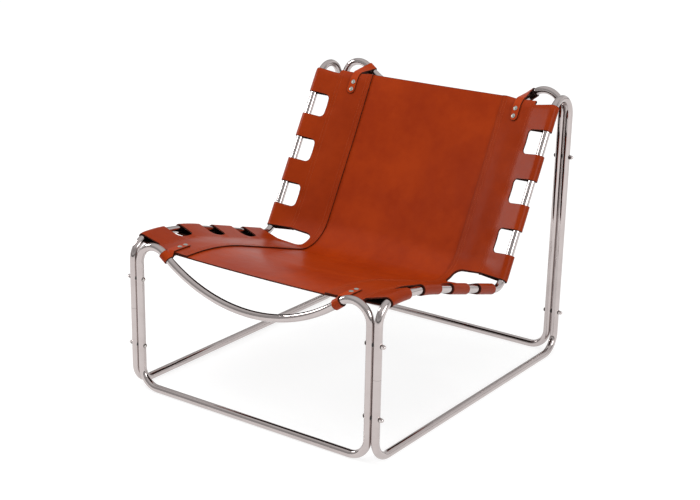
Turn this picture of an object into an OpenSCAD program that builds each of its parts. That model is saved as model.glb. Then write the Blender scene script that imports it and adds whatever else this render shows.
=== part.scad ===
// Lounge chair with a leather sling seat and back on a frame of four bent steel tube loops.
// Two side loops carry the sling. A front loop and a rear loop stand between them, bolted on
// at the four upright corners. The sling is a centre panel with two side panels sewn on, whose
// tabs wrap round the side loops. Four riveted straps hold its corners to the bowed cross tubes.
// The chair faces -Y, +X is to the right in a view from the front and Z is up.

/* [Frame] */
// width over the outer faces of the side loops
frame_w = 760; // [640:5:900]
// depth over the front and rear uprights
frame_d = 888; // [840:4:960]
// height of the side loops at the front of the seat
seat_h = 400; // [360:5:440]
// drop of the front loop's shoulders below the side loops
front_step = 2; // [0:0.5:8]
// rise of the rear loop's shoulders above the side loops
rear_step = 6; // [0:0.5:12]
// clear gap between a side loop and the uprights beside it
loop_gap = 1.5; // [0.5:0.5:4]

/* [Tube] */
// outer diameter of the tubes
tube_d = 20; // [18:1:22]
// wall of the tubes
tube_wall = 2; // [1.5:0.5:3]
// centre line radius of the frame's bends
bend_r = 50; // [44:1:60]
// centre line radius of the bend between seat and back
corner_r = 38; // [34:1:50]

/* [Side loops] */
// radius of the crown at the front of the seat rails
crown_r = 680; // [500:10:900]
// fall of the seat rails towards the back, in degrees
seat_fall = 15.9; // [13:0.1:18]
// distance from the front uprights to the corner of seat and back
seat_depth = 545; // [510:5:580]
// lean of the back from the upright, in degrees
back_lean = 28.8; // [26:0.1:32]
// height of the butt joint in the front uprights
seam_z = 214; // [190:2:230]
// length of the sleeve inside the butt joint
spigot_l = 80; // [40:5:100]

/* [Front and rear loops] */
// slope where the bowed cross tube leaves its end bends, in degrees
bow_slope = 38.3; // [34:0.1:42]

/* [Fixings] */
// diameter of the bolts
bolt_d = 6; // [5:1:8]
// width across the flats of the dome nuts
nut_af = 10; // [10:1:13]
// height of the lower bolts in the front corners
front_bolt_z = 117; // [90:1:140]
// distance of the upper bolts in the front corners below the front loop's shoulders
front_bolt_drop = 103; // [90:1:130]
// height of the lower bolts in the rear corners
rear_bolt_z = 119; // [90:1:200]
// distance of the upper bolts in the rear corners below the rear loop's shoulders
rear_bolt_drop = 179; // [100:1:260]

/* [Leather] */
// thickness of the sling's leather
leather_t = 3.5; // [2.5:0.1:4.5]
// width of the tabs on the seat rails
seat_tab_w = 76; // [60:1:90]
// distance from the start of the seat rail's crown to the middle of the first tab
seat_tab_front = 24; // [20:1:34]
// distance from the corner of seat and back to the middle of the last seat tab
seat_tab_rear = 84; // [78:1:100]
// width of the tabs on the back rails
back_tab_w = 66; // [54:1:78]
// distance from the corner of seat and back to the middle of the lowest back tab
back_tab_low = 54.5; // [50:0.5:66]
// distance from the start of the top bends to the middle of the highest back tab
back_tab_high = 21; // [14:1:36]
// distance from the side rails to the inner edges of the side panels
panel_in = 161; // [150:1:175]
// distance from the side rails to the tab seams
seam_in = 65; // [58:1:90]
// overhang of the centre panel beyond the tab seams
panel_over = 4; // [3:0.5:10]
// distance from the side rails to the bottoms of the cut-outs between tabs
slot_in = 52; // [44:1:62]
// distance from the side rails to the bottoms of the cut-outs at the corner of seat and back
fold_slot_in = 139; // [100:1:145]
// distance from the side rails to the outer edges of the corner flaps
flap_in = 59; // [48:1:66]
// corner radius of the cut-outs between tabs
slot_r = 13; // [6:1:18]
// corner radius of the cut-outs at the corner of seat and back
fold_slot_r = 20; // [14:1:24]
// distance of the sling's front edge behind the front uprights
front_gap = 18; // [14:1:24]
// overhang of the flaps beyond the highest back tab
top_over = 15.5; // [12:0.5:26]
// length of the top corners that the rear straps pull back
curl_l = 26; // [20:1:40]
// radius of the top corners' bend
curl_r = 39; // [32:1:90]
// radius of the sling's curve between seat and back
fold_r = 110; // [90:2:130]
// depth of the side panels' inner edges below the rails at the front of the seat
front_drop = 9.5; // [7:0.5:13]
// depth of the side panels' inner edges below the rails at the rear of the seat
seat_drop = 13.5; // [10:0.5:20]
// depth of the side panels' inner edges behind the rails of the back
back_drop = 21; // [15:0.5:26]
// depth of the side panels' inner edges behind the rails at the top
top_drop = 16.5; // [12:0.5:22]
// depth of the tab seams below the rails
seam_drop = 6.5; // [4:0.5:9]
// sag of the centre panel in the seat
seat_sag = 10; // [2:1:30]
// sag of the centre panel in the back
back_sag = 10; // [2:1:30]
// sag of the centre panel at its free edges
edge_sag = 2; // [0:0.5:8]

/* [Straps] */
// width of the corner straps
strap_w = 22; // [16:1:30]
// thickness of the corner straps
strap_t = 3; // [2:0.5:4]
// distance from the side rails to the middles of the straps
strap_in = 110; // [100:1:125]
// length of the straps on the sling
strap_l = 64.5; // [58:0.5:85]
// diameter of the rivet caps
rivet_d = 12; // [9:0.5:13]
// distance from the end of a strap to its first rivet
rivet_at = 12; // [10:0.5:20]
// spacing of the two rivets
rivet_pitch = 21; // [17:1:26]

/* [Hidden] */
$fn = 96;

chrome = [0.80, 0.79, 0.78];
steel = [0.62, 0.61, 0.60];
black = [0.05, 0.05, 0.05];
leather = [0.62, 0.20, 0.07];
leather_dark = [0.56, 0.17, 0.06];
silver = [0.72, 0.75, 0.75];

tube_r = tube_d / 2;
bore_d = tube_d - 2 * tube_wall;
side_x = frame_w / 2 - tube_r;
up_x = side_x - tube_d - loop_gap;
span = frame_d - tube_d;
front_y = -span / 2;
rear_y = span / 2;
lap = tube_d / 40;
ease = tube_d / 100;
seam_gap = tube_d / 50;

// side loop, as runs of straight length, turn in degrees and bend radius, from the butt joint up
rail_c = seat_h - tube_r;
back_a = 90 - back_lean;
fold_a = seat_fall + back_a;
crown_y = bend_r + crown_r * sin(seat_fall);
crown_z = rail_c - crown_r * (1 - cos(seat_fall));
corner = [seat_depth, crown_z - (seat_depth - crown_y) * tan(seat_fall)];
corner_l = corner_r * tan(fold_a / 2);
top_s = (span - bend_r - seat_depth - bend_r * cos(back_lean)) / sin(back_lean);
top_z = corner[1] + top_s * cos(back_lean) - bend_r * sin(back_lean);
seat_run = (seat_depth - crown_y) / cos(seat_fall) - corner_l;
side_steps = [
  [rail_c - bend_r - seam_z - seam_gap / 2 - lap, -90, bend_r],
  [0, -seat_fall, crown_r],
  [seat_run, fold_a, corner_r],
  [top_s - corner_l, -90 - back_a, bend_r],
  [top_z - bend_r - tube_r, -90, bend_r],
  [span - 2 * bend_r, -90, bend_r],
  [seam_z - bend_r - tube_r - seam_gap / 2 - lap, 0, 0]];
side_start = [0, seam_z + seam_gap / 2 + lap, 90];
crown_u = side_steps[0][0] + bend_r * PI / 2;
crown_len = crown_r * seat_fall * PI / 180;

// front and rear loops, from the middle of one lower bend
front_loop_h = seat_h - front_step;
rear_loop_h = top_z + bend_r + tube_r + rear_step;
front_bolts = [front_bolt_z, front_loop_h - front_bolt_drop];
rear_bolts = [rear_bolt_z, rear_loop_h - rear_bolt_drop];
half = up_x - bend_r;
bow_r = (half - bend_r * sin(bow_slope)) / sin(bow_slope);
function cross_steps(h) = [
  [2 * half, 90, bend_r],
  [h - 2 * bend_r - tube_d, 90 + bow_slope, bend_r],
  [0, -2 * bow_slope, bow_r],
  [0, 90 + bow_slope, bend_r],
  [h - 2 * bend_r - tube_d, 90, bend_r]];
function bow_z(h, x) = h - tube_r - bend_r * (1 - cos(bow_slope)) + bow_r * cos(bow_slope)
  - sqrt(bow_r * bow_r - x * x);

// place and heading at a distance along a list of runs
function pose(steps, u, at, i = 0) =
  let (l = steps[i][0], t = steps[i][1], r = steps[i][2], a = at[2], s = sign(t))
  u <= l || i == len(steps) - 1 ? [at[0] + u * cos(a), at[1] + u * sin(a), a] :
  let (c = [at[0] + l * cos(a) - s * r * sin(a), at[1] + l * sin(a) + s * r * cos(a)],
       arc = abs(t) * PI / 180 * r,
       h = a + s * min(u - l, arc) / r * 180 / PI,
       p = [c[0] + s * r * sin(h), c[1] - s * r * cos(h), h])
  u - l <= arc ? p : pose(steps, u - l - arc, p, i + 1);

// the sling's own curve between seat and back: t runs along the sling from the seat rail's crown
fold_ax = (back_drop * cos(seat_fall) - seat_drop * cos(back_a)) / sin(fold_a);
fold_az = (-back_drop * sin(seat_fall) - seat_drop * sin(back_a)) / sin(fold_a);
fold_l = fold_r * tan(fold_a / 2);
fold_mid = back_a - fold_a / 2;
fold_c = [corner[0] + fold_ax - fold_r / cos(fold_a / 2) * sin(fold_mid),
          corner[1] + fold_az + fold_r / cos(fold_a / 2) * cos(fold_mid)];
t_in = crown_len + seat_run + corner_l + fold_ax * cos(seat_fall) - fold_az * sin(seat_fall) - fold_l;
t_out = t_in + fold_r * fold_a * PI / 180;
s_out = fold_ax * cos(back_a) + fold_az * sin(back_a) + fold_l;
function back_t(s) = t_out + s - s_out;
t_mid = (t_in + t_out) / 2;
t_front = front_gap - bend_r;
function tab_row(first, last, w) = [for (i = [0:3])
  let (m = first + (last - first) * i / 3) [m - w / 2, m + w / 2]];
seat_tabs = tab_row(seat_tab_front, crown_len + seat_run + corner_l - seat_tab_rear, seat_tab_w);
back_tabs = tab_row(back_t(back_tab_low), back_t(top_s - back_tab_high), back_tab_w);
tabs = concat(seat_tabs, back_tabs);
t_top = tabs[7][1] + top_over;

function mix(a, b, f) = a + (b - a) * max(0, min(1, f));
function drop(t) =
  t < t_in ? mix(front_drop, seat_drop, t / (t_in * 0.9)) :
  t < t_out ? mix(seat_drop, back_drop, (t - t_in) / (t_out - t_in)) :
  mix(back_drop, top_drop, (t - (t_out + (t_top - t_out) * 0.55)) / ((t_top - t_out) * 0.45));
function sag(t) =
  t < t_mid ? edge_sag + (seat_sag - edge_sag) * sin(180 * (t - t_front) / (t_mid - t_front)) :
  edge_sag + (back_sag - edge_sag) * sin(180 * (t - t_mid) / (t_top - t_mid));

// frame of the sling's side edge: the rail's centre, or where it would be, and the heading
function sling_frame(t) =
  t < 0 ? [bend_r + t, rail_c, 0] :
  t < t_in ? pose(side_steps, crown_u + t, side_start) :
  t < t_out ? let (h = -seat_fall + (t - t_in) / fold_r * 180 / PI)
    [fold_c[0] + (fold_r - drop(t)) * sin(h), fold_c[1] - (fold_r - drop(t)) * cos(h), h] :
  let (s = s_out + t - t_out) [corner[0] + s * cos(back_a), corner[1] + s * sin(back_a), back_a];
// frame of the rail itself, which the tabs wrap
function rail_frame(t) =
  t < t_mid ? pose(side_steps, crown_u + t, side_start) :
  pose(side_steps, crown_u + crown_len + seat_run + corner_r * fold_a * PI / 180
       + s_out + t - t_out - corner_l, side_start);

// height of the side panel's upper face above the rail's centre, at a distance x from the middle
sleeve_ri = tube_r + tube_d * 0.02;
sleeve_ro = sleeve_ri + leather_t;
inner_x = side_x - panel_in;
seam_x = side_x - seam_in;
panel_x = seam_x + panel_over;
slot_x = side_x - slot_in;
fold_slot_x = side_x - fold_slot_in;
flap_x = side_x - flap_in;
strap_x = side_x - strap_in;
function rise_angle(b, r) = atan2(-b, seam_in) + asin(r / norm([seam_in, b]));
function face(t, x) =
  abs(x) <= inner_x ? -drop(t) - sag(t) * (1 - pow(x / inner_x, 2)) :
  abs(x) <= seam_x ? mix(-drop(t), -seam_drop, (abs(x) - inner_x) / (seam_x - inner_x)) :
  -seam_drop + (abs(x) - seam_x) * tan(rise_angle(-seam_drop, sleeve_ro));
function spot(f, x, b) = [x, front_y + f[0] - b * sin(f[2]), f[1] + b * cos(f[2])];
// sharpness of the bend of the top corners, at a distance x from the middle
fold_line_x = fold_slot_x + fold_slot_r;
function curl(x) = mix(0, 1, (abs(x) - inner_x) / (fold_line_x - inner_x))
  * mix(1, 0, (abs(x) - seam_x) / (slot_x + slot_r - seam_x)) / curl_r;
function past_curl(t) = max(0, t - t_top + curl_l);
function curl_angle(t, x) = past_curl(t) * curl(x) * 180 / PI;
function on_sling(t, x, lift) =
  let (p = past_curl(t), k = curl(x), a = curl_angle(t, x), f = sling_frame(t - p),
       go = (a > 0 ? sin(a) / k : p) + lift * sin(a), back = a > 0 ? (1 - cos(a)) / k : 0)
  spot([f[0] + go * cos(f[2]), f[1] + go * sin(f[2]), f[2]], x, face(t, x) - back + lift * cos(a));

// stations along the sling: tab ends, rounded cut-out corners and marks on the curves
corner_shares = [0.15, 0.46, 1];
function slot_steps(r) = r * corner_shares;
edges = concat([t_front, t_top],
  [for (k = tabs) each [k[0], k[1]]],
  [for (i = [0:6]) let (r = i == 3 ? fold_slot_r : slot_r) each
    [for (u = slot_steps(r)) each [tabs[i][1] + u, tabs[i + 1][0] - u]]]);
top_bend_t = back_t(top_s);
back_shares = [0.36, 0.72];
marks = concat([0],
  [for (k = [1:7]) k * crown_len / 7],
  [for (k = [0:11]) mix(t_in, t_out, k / 11)],
  [back_t(corner_l), (back_t(corner_l) + tabs[4][0]) / 2, top_bend_t, (top_bend_t + tabs[7][1]) / 2,
   (tabs[7][1] + t_top) / 2],
  [for (k = back_shares) mix(t_out, t_top, k)]);
near = tube_d * 0.07;
function sorted(v) = len(v) < 2 ? v :
  let (m = v[floor(len(v) / 2)])
  concat(sorted([for (k = v) if (k < m) k]), [m], sorted([for (k = v) if (k > m) k]));
spread = [for (m = marks) if (min([for (e = edges) abs(m - e)]) > near) m];
stations = sorted(concat(edges, spread));
tab_edges = [for (k = tabs) each k];
function is_mark(t) = min([for (e = concat(tab_edges, spread, [t_front, t_top])) abs(t - e)]) < near / 10;
function in_tab(t) = len([for (k = tabs) if (t > k[0] && t < k[1]) 1]) > 0;
function in_fold_slot(t) = t > tabs[3][1] && t < tabs[4][0];
panel_stations = [for (t = stations) if (is_mark(t) || in_fold_slot(t)) t];

// outer edge of a side panel beside the tabs, with its rounded cut-out corners
function corner_in(u, r) = u >= r ? 0 : r - sqrt(max(0, r * r - (r - u) * (r - u)));
function slot_edge(i, t) =
  let (r = i == 3 ? fold_slot_r : slot_r, u = max(0, min(t - tabs[i][1], tabs[i + 1][0] - t)))
  (i == 3 ? fold_slot_x : slot_x) + corner_in(u, r);
function outer_edge(t) =
  t < tabs[0][0] || t > tabs[7][1] - near ? flap_x :
  let (g = [for (i = [0:6]) if (i != 3 && t >= tabs[i][1] - near && t <= tabs[i + 1][0] + near) i])
  len(g) > 0 ? slot_edge(g[0], t) : slot_x + slot_r;
// bottom of the corner cut-out, through both panels, or a line on the panels elsewhere
function fold_edge(t) =
  t >= tabs[3][1] - near && t <= tabs[4][0] + near ? slot_edge(3, t) : fold_slot_x + fold_slot_r;

// side panel on the right: one row of outer and inner points for each station
wrap_n = 7;
layer_gap = leather_t / 14;
under = 3 * leather_t + 2 * layer_gap;
function wrap_row(t, r, top_b, low_b) =
  let (f = rail_frame(t), a0 = 90 - rise_angle(top_b, r),
       a1 = 270 - (atan2(-low_b, seam_in) - asin(r / norm([seam_in, low_b]))))
  [for (k = [0:wrap_n]) let (a = mix(a0, a1, k / wrap_n)) spot(f, side_x - r * cos(a), r * sin(a))];
function side_cols(t) = [inner_x, fold_edge(t), seam_x, outer_edge(t)];
function upper_row(t) = concat(
  [for (x = side_cols(t)) on_sling(t, x, 0)],
  wrap_row(t, sleeve_ro, -seam_drop, -seam_drop - under),
  [on_sling(t, seam_x, -under)]);
function lower_row(t) = concat(
  [for (x = side_cols(t)) on_sling(t, x, -leather_t)],
  wrap_row(t, sleeve_ri, -seam_drop - leather_t, -seam_drop - under + leather_t),
  [on_sling(t, seam_x, leather_t - under)]);

// closed sheet between an upper and a lower grid of points, for the cells that has() keeps
module sheet(upper, lower, cells) {
  n = len(upper);
  m = len(upper[0]);
  points = concat([for (row = upper) each row], [for (row = lower) each row]);
  low = n * m;
  function has(i, j) = i >= 0 && j >= 0 && i < n - 1 && j < m - 1 && cells[i][j];
  function wall(a, b) = [[a, b, b + low], [a, b + low, a + low]];
  faces = [for (i = [0:n - 2], j = [0:m - 2]) if (has(i, j))
    let (p = i * m + j, q = p + m)
    each concat(
      [[p, q, q + 1], [p, q + 1, p + 1]],
      [[p + low, q + 1 + low, q + low], [p + low, p + 1 + low, q + 1 + low]],
      has(i, j - 1) ? [] : wall(q, p),
      has(i + 1, j) ? [] : wall(q + 1, q),
      has(i, j + 1) ? [] : wall(p + 1, q + 1),
      has(i - 1, j) ? [] : wall(p, p + 1))];
  polyhedron(points = points, faces = faces, convexity = 10);
}

// tube with an easy fit of each bend inside the ends of the straights beside it
module straight(l, d) {
  translate([-lap, 0, 0]) rotate([0, 90, 0]) cylinder(d = d, h = l + 2 * lap);
}

module elbow(turn, r, d) {
  mirror([0, turn > 0 ? 0 : 1, 0]) translate([0, r, 0]) rotate([0, 0, -90])
    rotate_extrude(angle = abs(turn)) translate([r, 0, 0]) circle(d = d - ease);
}

module bar(steps, d, at) {
  for (i = [0:len(steps) - 1]) {
    before = i == 0 ? 0 : run_to(steps, i);
    p = pose(steps, before, at);
    q = pose(steps, before + steps[i][0], at);
    translate([p[0], p[1], 0]) rotate([0, 0, p[2]]) straight(steps[i][0], d);
    if (steps[i][1] != 0) translate([q[0], q[1], 0]) rotate([0, 0, q[2]]) elbow(steps[i][1], steps[i][2], d);
  }
}

function run_to(steps, n) = n == 0 ? 0 :
  run_to(steps, n - 1) + steps[n - 1][0] + abs(steps[n - 1][1]) * PI / 180 * steps[n - 1][2];

module bolt_places(heights, y) {
  for (s = [-1, 1], z = heights) facing_side(s) translate([0, y, z]) children();
}

module facing_side(s) {
  mirror([s > 0 ? 0 : 1, 0, 0]) children();
}

module bolt_holes(heights, y, x) {
  bolt_places(heights, y) translate([x, 0, 0]) rotate([0, 90, 0])
    cylinder(d = bolt_d + tube_d / 40, h = tube_d * 1.5, center = true);
}

// side loop in the plane x = side_x
module side_loop() {
  color(chrome) difference() {
    translate([side_x, front_y, 0]) rotate([90, 0, 90]) difference() {
      bar(side_steps, tube_d, side_start);
      bar(end_longer(side_steps), bore_d, [side_start[0], side_start[1] - lap, 90]);
    }
    bolt_holes(front_bolts, front_y, side_x);
    bolt_holes(rear_bolts, rear_y, side_x);
  }
}
function end_longer(steps) = [for (i = [0:len(steps) - 1])
  i == 0 || i == len(steps) - 1 ? [steps[i][0] + lap, steps[i][1], steps[i][2]] : steps[i]];

module cross_loop(h, y, heights) {
  color(chrome) difference() {
    translate([0, y, 0]) rotate([90, 0, 0]) difference() {
      bar(cross_steps(h), tube_d, [-half, tube_r, 0]);
      bar(cross_steps(h), bore_d, [-half, tube_r, 0]);
    }
    bolt_holes(heights, y, up_x);
  }
}

module side_loop_left() { mirror([1, 0, 0]) side_loop(); }
module side_loop_right() { side_loop(); }
module front_loop() { cross_loop(front_loop_h, front_y, front_bolts); }
module rear_loop() { cross_loop(rear_loop_h, rear_y, rear_bolts); }

module joint_sleeves() {
  color(steel) difference() {
    for (s = [-1, 1]) translate([s * side_x, front_y, seam_z - spigot_l / 2]) difference() {
      cylinder(d = bore_d - tube_d / 100, h = spigot_l);
      translate([0, 0, -lap]) cylinder(d = bore_d - 2 * tube_wall, h = spigot_l + 2 * lap);
    }
    bolt_holes(front_bolts, front_y, side_x);
  }
}

// one fixing along +X, with x = 0 at the inner face of the upright
washer_t = bolt_d / 5;
grip = 2 * tube_d + loop_gap;
head_h = bolt_d * 0.62;
nut_h = bolt_d * 0.85;
nut_r = nut_af / 2 / cos(30);
module along_x() { rotate([0, 90, 0]) children(); }

module bolt() {
  head_r = bolt_d * 0.875;
  ball = (head_r * head_r + head_h * head_h) / (2 * head_h);
  along_x() translate([0, 0, -washer_t]) {
    cylinder(d = bolt_d, h = grip + 2 * washer_t + nut_h + bolt_d * 0.25);
    intersection() {
      translate([0, 0, ball - head_h]) sphere(r = ball);
      translate([0, 0, -head_h * 2]) cylinder(r = head_r * 2, h = head_h * 2);
    }
  }
}

module washers() {
  along_x() for (z = [-washer_t, grip]) translate([0, 0, z]) difference() {
    cylinder(d = bolt_d * 1.9, h = washer_t);
    translate([0, 0, -washer_t]) cylinder(d = bolt_d * 1.07, h = washer_t * 3);
  }
}

module dome_nut() {
  bore_l = nut_h + bolt_d * 0.35;
  along_x() translate([0, 0, grip + washer_t]) difference() {
    union() {
      intersection() {
        cylinder(r = nut_r, h = nut_h, $fn = 6);
        cylinder(r1 = nut_r * 0.97, r2 = nut_r * 1.3, h = nut_h);
      }
      intersection() {
        translate([0, 0, nut_h]) sphere(d = nut_af * 0.94);
        translate([0, 0, nut_h * 0.9]) cylinder(d = nut_af * 2, h = nut_af);
      }
    }
    translate([0, 0, -bolt_d]) cylinder(d = bolt_d * 1.03, h = bore_l + bolt_d);
  }
}

module spacer() {
  wide = bolt_d * 2;
  difference() {
    along_x() translate([0, 0, tube_d + loop_gap / 2 - wide / 4]) cylinder(d = wide, h = wide / 2);
    along_x() cylinder(d = bolt_d * 1.07, h = grip);
    for (x = [tube_r, grip - tube_r]) translate([x, 0, -wide]) cylinder(d = tube_d * 1.004, h = wide * 2);
  }
}

module at_corners(heights, y) {
  bolt_places(heights, y) translate([up_x - tube_r, 0, 0]) children();
}

module bolts_front() { color(steel) at_corners(front_bolts, front_y) bolt(); }
module bolts_rear() { color(steel) at_corners(rear_bolts, rear_y) bolt(); }
module dome_nuts_front() { color(chrome) at_corners(front_bolts, front_y) dome_nut(); }
module dome_nuts_rear() { color(chrome) at_corners(rear_bolts, rear_y) dome_nut(); }
module washers_front() { color(steel) at_corners(front_bolts, front_y) washers(); }
module washers_rear() { color(steel) at_corners(rear_bolts, rear_y) washers(); }
module spacers_front() { color(black) at_corners(front_bolts, front_y) spacer(); }
module spacers_rear() { color(black) at_corners(rear_bolts, rear_y) spacer(); }

// rivets: their places along the sling, and the stack of leather that they hold
front_end = t_front + strap_l;
top_end = t_top - strap_l;
front_rivets = [front_end - rivet_at - rivet_pitch, front_end - rivet_at];
rear_rivets = [top_end + rivet_at, top_end + rivet_at + rivet_pitch];
strap_gap = strap_t / 20;
stack = 2 * strap_t + 2 * strap_gap + 2 * leather_t + layer_gap;

// moves a child with its foot at the underside of the stack and its axis square to the leather
module on_stack(t) {
  f = sling_frame(t);
  p = on_sling(t, strap_x, strap_gap + strap_t - stack);
  tilt = atan2(face(t, seam_x) - face(t, inner_x), seam_x - inner_x);
  translate(p) rotate([f[2], 0, 0]) rotate([0, -tilt, 0]) children();
}

module rivet() {
  rise = rivet_d * 0.18;
  rim = rivet_d * 0.06;
  ball = (rivet_d * rivet_d / 4 + rise * rise) / (2 * rise);
  cylinder(d = rivet_d * 0.34, h = stack + rim);
  translate([0, 0, -rim * 2]) cylinder(d = rivet_d * 0.9, h = rim * 2);
  translate([0, 0, stack]) intersection() {
    cylinder(d = rivet_d, h = rivet_d);
    translate([0, 0, rim + rise - ball]) sphere(r = ball);
  }
}

module rivet_holes(places) {
  for (t = places) on_stack(t) translate([0, 0, -stack]) cylinder(d = rivet_d * 0.4, h = stack * 3);
}

module both_sides() {
  children();
  mirror([1, 0, 0]) children();
}

module rivets_front() { color(silver) both_sides() for (t = front_rivets) on_stack(t) rivet(); }
module rivets_rear() { color(silver) both_sides() for (t = rear_rivets) on_stack(t) rivet(); }

// sling
sag_shares = [-1, -0.61, -0.21, 0.21, 0.61, 1];
function panel_cols(t) = concat([-panel_x, -seam_x, -fold_edge(t)], inner_x * sag_shares,
  [fold_edge(t), seam_x, panel_x]);
module centre_panel() {
  top = [for (t = panel_stations) [for (x = panel_cols(t)) on_sling(t, x, -leather_t - layer_gap)]];
  low = [for (t = panel_stations) [for (x = panel_cols(t)) on_sling(t, x, -2 * leather_t - layer_gap)]];
  all = [for (i = [0:len(panel_stations) - 2])
    let (cut = in_fold_slot((panel_stations[i] + panel_stations[i + 1]) / 2))
    [for (j = [0:len(top[0]) - 2]) !cut || (j > 1 && j < len(top[0]) - 3)]];
  color(leather) difference() {
    sheet(top, low, all);
    both_sides() rivet_holes(concat(front_rivets, rear_rivets));
  }
}

module side_panel() {
  top = [for (t = stations) upper_row(t)];
  low = [for (t = stations) lower_row(t)];
  cells = [for (i = [0:len(stations) - 2])
    let (t = (stations[i] + stations[i + 1]) / 2)
    [for (j = [0:len(top[0]) - 2]) j < 1 || (j < 3 && !in_fold_slot(t)) || in_tab(t)]];
  color(leather_dark) difference() {
    sheet(top, low, cells);
    rivet_holes(concat(front_rivets, rear_rivets));
  }
}

module side_panel_left() { mirror([1, 0, 0]) side_panel(); }
module side_panel_right() { side_panel(); }

// strap: rings of four points, flat on the sling, then twisted round the bowed tube
function strap_ring(t, half_w, lift) = [
  on_sling(t, strap_x + half_w, lift + strap_t), on_sling(t, strap_x - half_w, lift + strap_t),
  on_sling(t, strap_x - half_w, lift), on_sling(t, strap_x + half_w, lift)];
function tip(d) = let (h = strap_w / 2) h * sqrt(1 - pow(1 - min(d, h) / h, 2));
tip_shares = [0.06, 0.28, 0.6, 1];
tip_steps = tip_shares * strap_w / 2;
hook_ri = tube_r + strap_gap;
bow_tilt = asin(strap_x / bow_r);
function hook_ring(a, y, h) =
  let (c = [strap_x, y, bow_z(h, strap_x)], n = [-sin(bow_tilt), 0, cos(bow_tilt)],
       w = [cos(bow_tilt), 0, sin(bow_tilt)] * strap_w / 2, r = [0, cos(a), 0] + n * sin(a),
       outer = c + r * (hook_ri + strap_t), inner = c + r * hook_ri)
  [outer + w, outer - w, inner - w, inner + w];
function blend_ring(a, b, f) = [for (k = [0:3]) a[k] + (b[k] - a[k]) * f];
function between(a, b, n) = [for (k = [1:n]) blend_ring(a, b, k / (n + 1))];

module ring_strip(rings) {
  n = len(rings);
  points = [for (r = rings) each r];
  faces = concat(
    [[0, 3, 2], [0, 2, 1]],
    [for (i = [0:n - 2], k = [0:3])
      let (a = 4 * i + k, b = 4 * i + (k + 1) % 4) each [[a, b, b + 4], [a, b + 4, a + 4]]],
    [let (e = 4 * n - 4) each [[e, e + 1, e + 2], [e, e + 2, e + 3]]]);
  polyhedron(points = points, faces = faces, convexity = 6);
}

low_lift = -2 * leather_t - layer_gap - strap_gap - strap_t;
out_t = strap_gap * 6;
// angle round the bowed tube at which a strap's leg from a ring meets it, for the edge that bends more
function edge_angle(ring, y, h, side, k) =
  let (e = k > 0 ? (ring[0] + ring[3]) / 2 : (ring[1] + ring[2]) / 2,
       d = e - [strap_x, y, bow_z(h, strap_x)] - k * [cos(bow_tilt), 0, sin(bow_tilt)] * strap_w / 2,
       up = d * [-sin(bow_tilt), 0, cos(bow_tilt)])
  (d[1] < 0 ? 180 : 0) + atan(up / d[1]) + side * acos((hook_ri + strap_t / 2) / norm([d[1], up]));
function meet(ring, y, h, side) =
  let (a = [for (k = [-1, 1]) edge_angle(ring, y, h, side, k)]) side > 0 ? min(a) : max(a);
function hook_turn(from, to, n, y, h) = [for (k = [0:n]) hook_ring(from + (to - from) * k / n, y, h)];
function turned_over(rings) = [for (r = rings) [r[3], r[2], r[1], r[0]]];
module strap(over, hook, back, places) {
  color(leather) difference() {
    ring_strip(concat(over, between(over[len(over) - 1], hook[0], leg_n), hook,
      between(hook[len(hook) - 1], back[0], leg_n), back));
    rivet_holes(places);
  }
}
leg_n = 3;
hook_n = 10;

module strap_front() {
  ends = [strap_ring(0, strap_w / 2, strap_gap), strap_ring(t_front - out_t, strap_w / 2, strap_gap)];
  over = concat([for (d = tip_steps) strap_ring(front_end - d, tip(d), strap_gap)], ends);
  low = concat([strap_ring(t_front - out_t, strap_w / 2, low_lift), strap_ring(0, strap_w / 2, low_lift)],
    [for (k = [3:-1:0]) strap_ring(front_end - tip_steps[k], tip(tip_steps[k]), low_lift)]);
  from_a = meet(ends[1], front_y, front_loop_h, 1);
  to_a = meet(low[0], front_y, front_loop_h, -1) + 360;
  strap(over, hook_turn(from_a, to_a, hook_n, front_y, front_loop_h), turned_over(low), front_rivets);
}

// turn of a rear strap away from the back, towards the rear bow, to an angle from the back's plane
over_r = strap_t * 6;
low_r = strap_t * 2.4;
leave_a = 60;
top_t = t_top + out_t;
over_a = leave_a - curl_angle(top_t, strap_x);
low_t = rear_rivets[1] + rivet_d * 0.65;
low_a = leave_a - curl_angle(low_t, strap_x);
function turn_ring(t, lift, r, a) =
  let (h = sling_frame(t)[2] + 90 - curl_angle(t, strap_x) - a,
       tilt = (face(t, strap_x + strap_w / 2) - face(t, strap_x - strap_w / 2)) / 2,
       c = on_sling(t, strap_x, lift + strap_t / 2 - r))
  [for (k = [[1, 1], [-1, 1], [-1, -1], [1, -1]])
    c + [k[0] * strap_w / 2, 0, 0] + [0, cos(h), sin(h)] * (r + k[1] * strap_t / 2 + k[0] * tilt * cos(a))];

module strap_rear() {
  over = concat([for (d = tip_steps) strap_ring(top_end + d, tip(d), strap_gap)],
    [for (t = stations) if (t > t_top - curl_l) strap_ring(t, strap_w / 2, strap_gap)],
    [strap_ring(top_t, strap_w / 2, strap_gap)],
    [for (k = [1:3]) turn_ring(top_t, strap_gap, over_r, over_a * k / 3)]);
  low = concat([for (k = [3:-1:1]) turn_ring(low_t, low_lift, low_r, low_a * k / 3)],
    [strap_ring(low_t, strap_w / 2, low_lift)],
    [for (k = [3:-1:0]) strap_ring(top_end + tip_steps[k], tip(tip_steps[k]), low_lift)]);
  from_a = meet(over[len(over) - 1], rear_y, rear_loop_h, -1);
  to_a = meet(low[0], rear_y, rear_loop_h, 1) - 360;
  strap(over, hook_turn(from_a, to_a, hook_n, rear_y, rear_loop_h), turned_over(low), rear_rivets);
}

module strap_front_left() { mirror([1, 0, 0]) strap_front(); }
module strap_front_right() { strap_front(); }
module strap_rear_left() { mirror([1, 0, 0]) strap_rear(); }
module strap_rear_right() { strap_rear(); }

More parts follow.
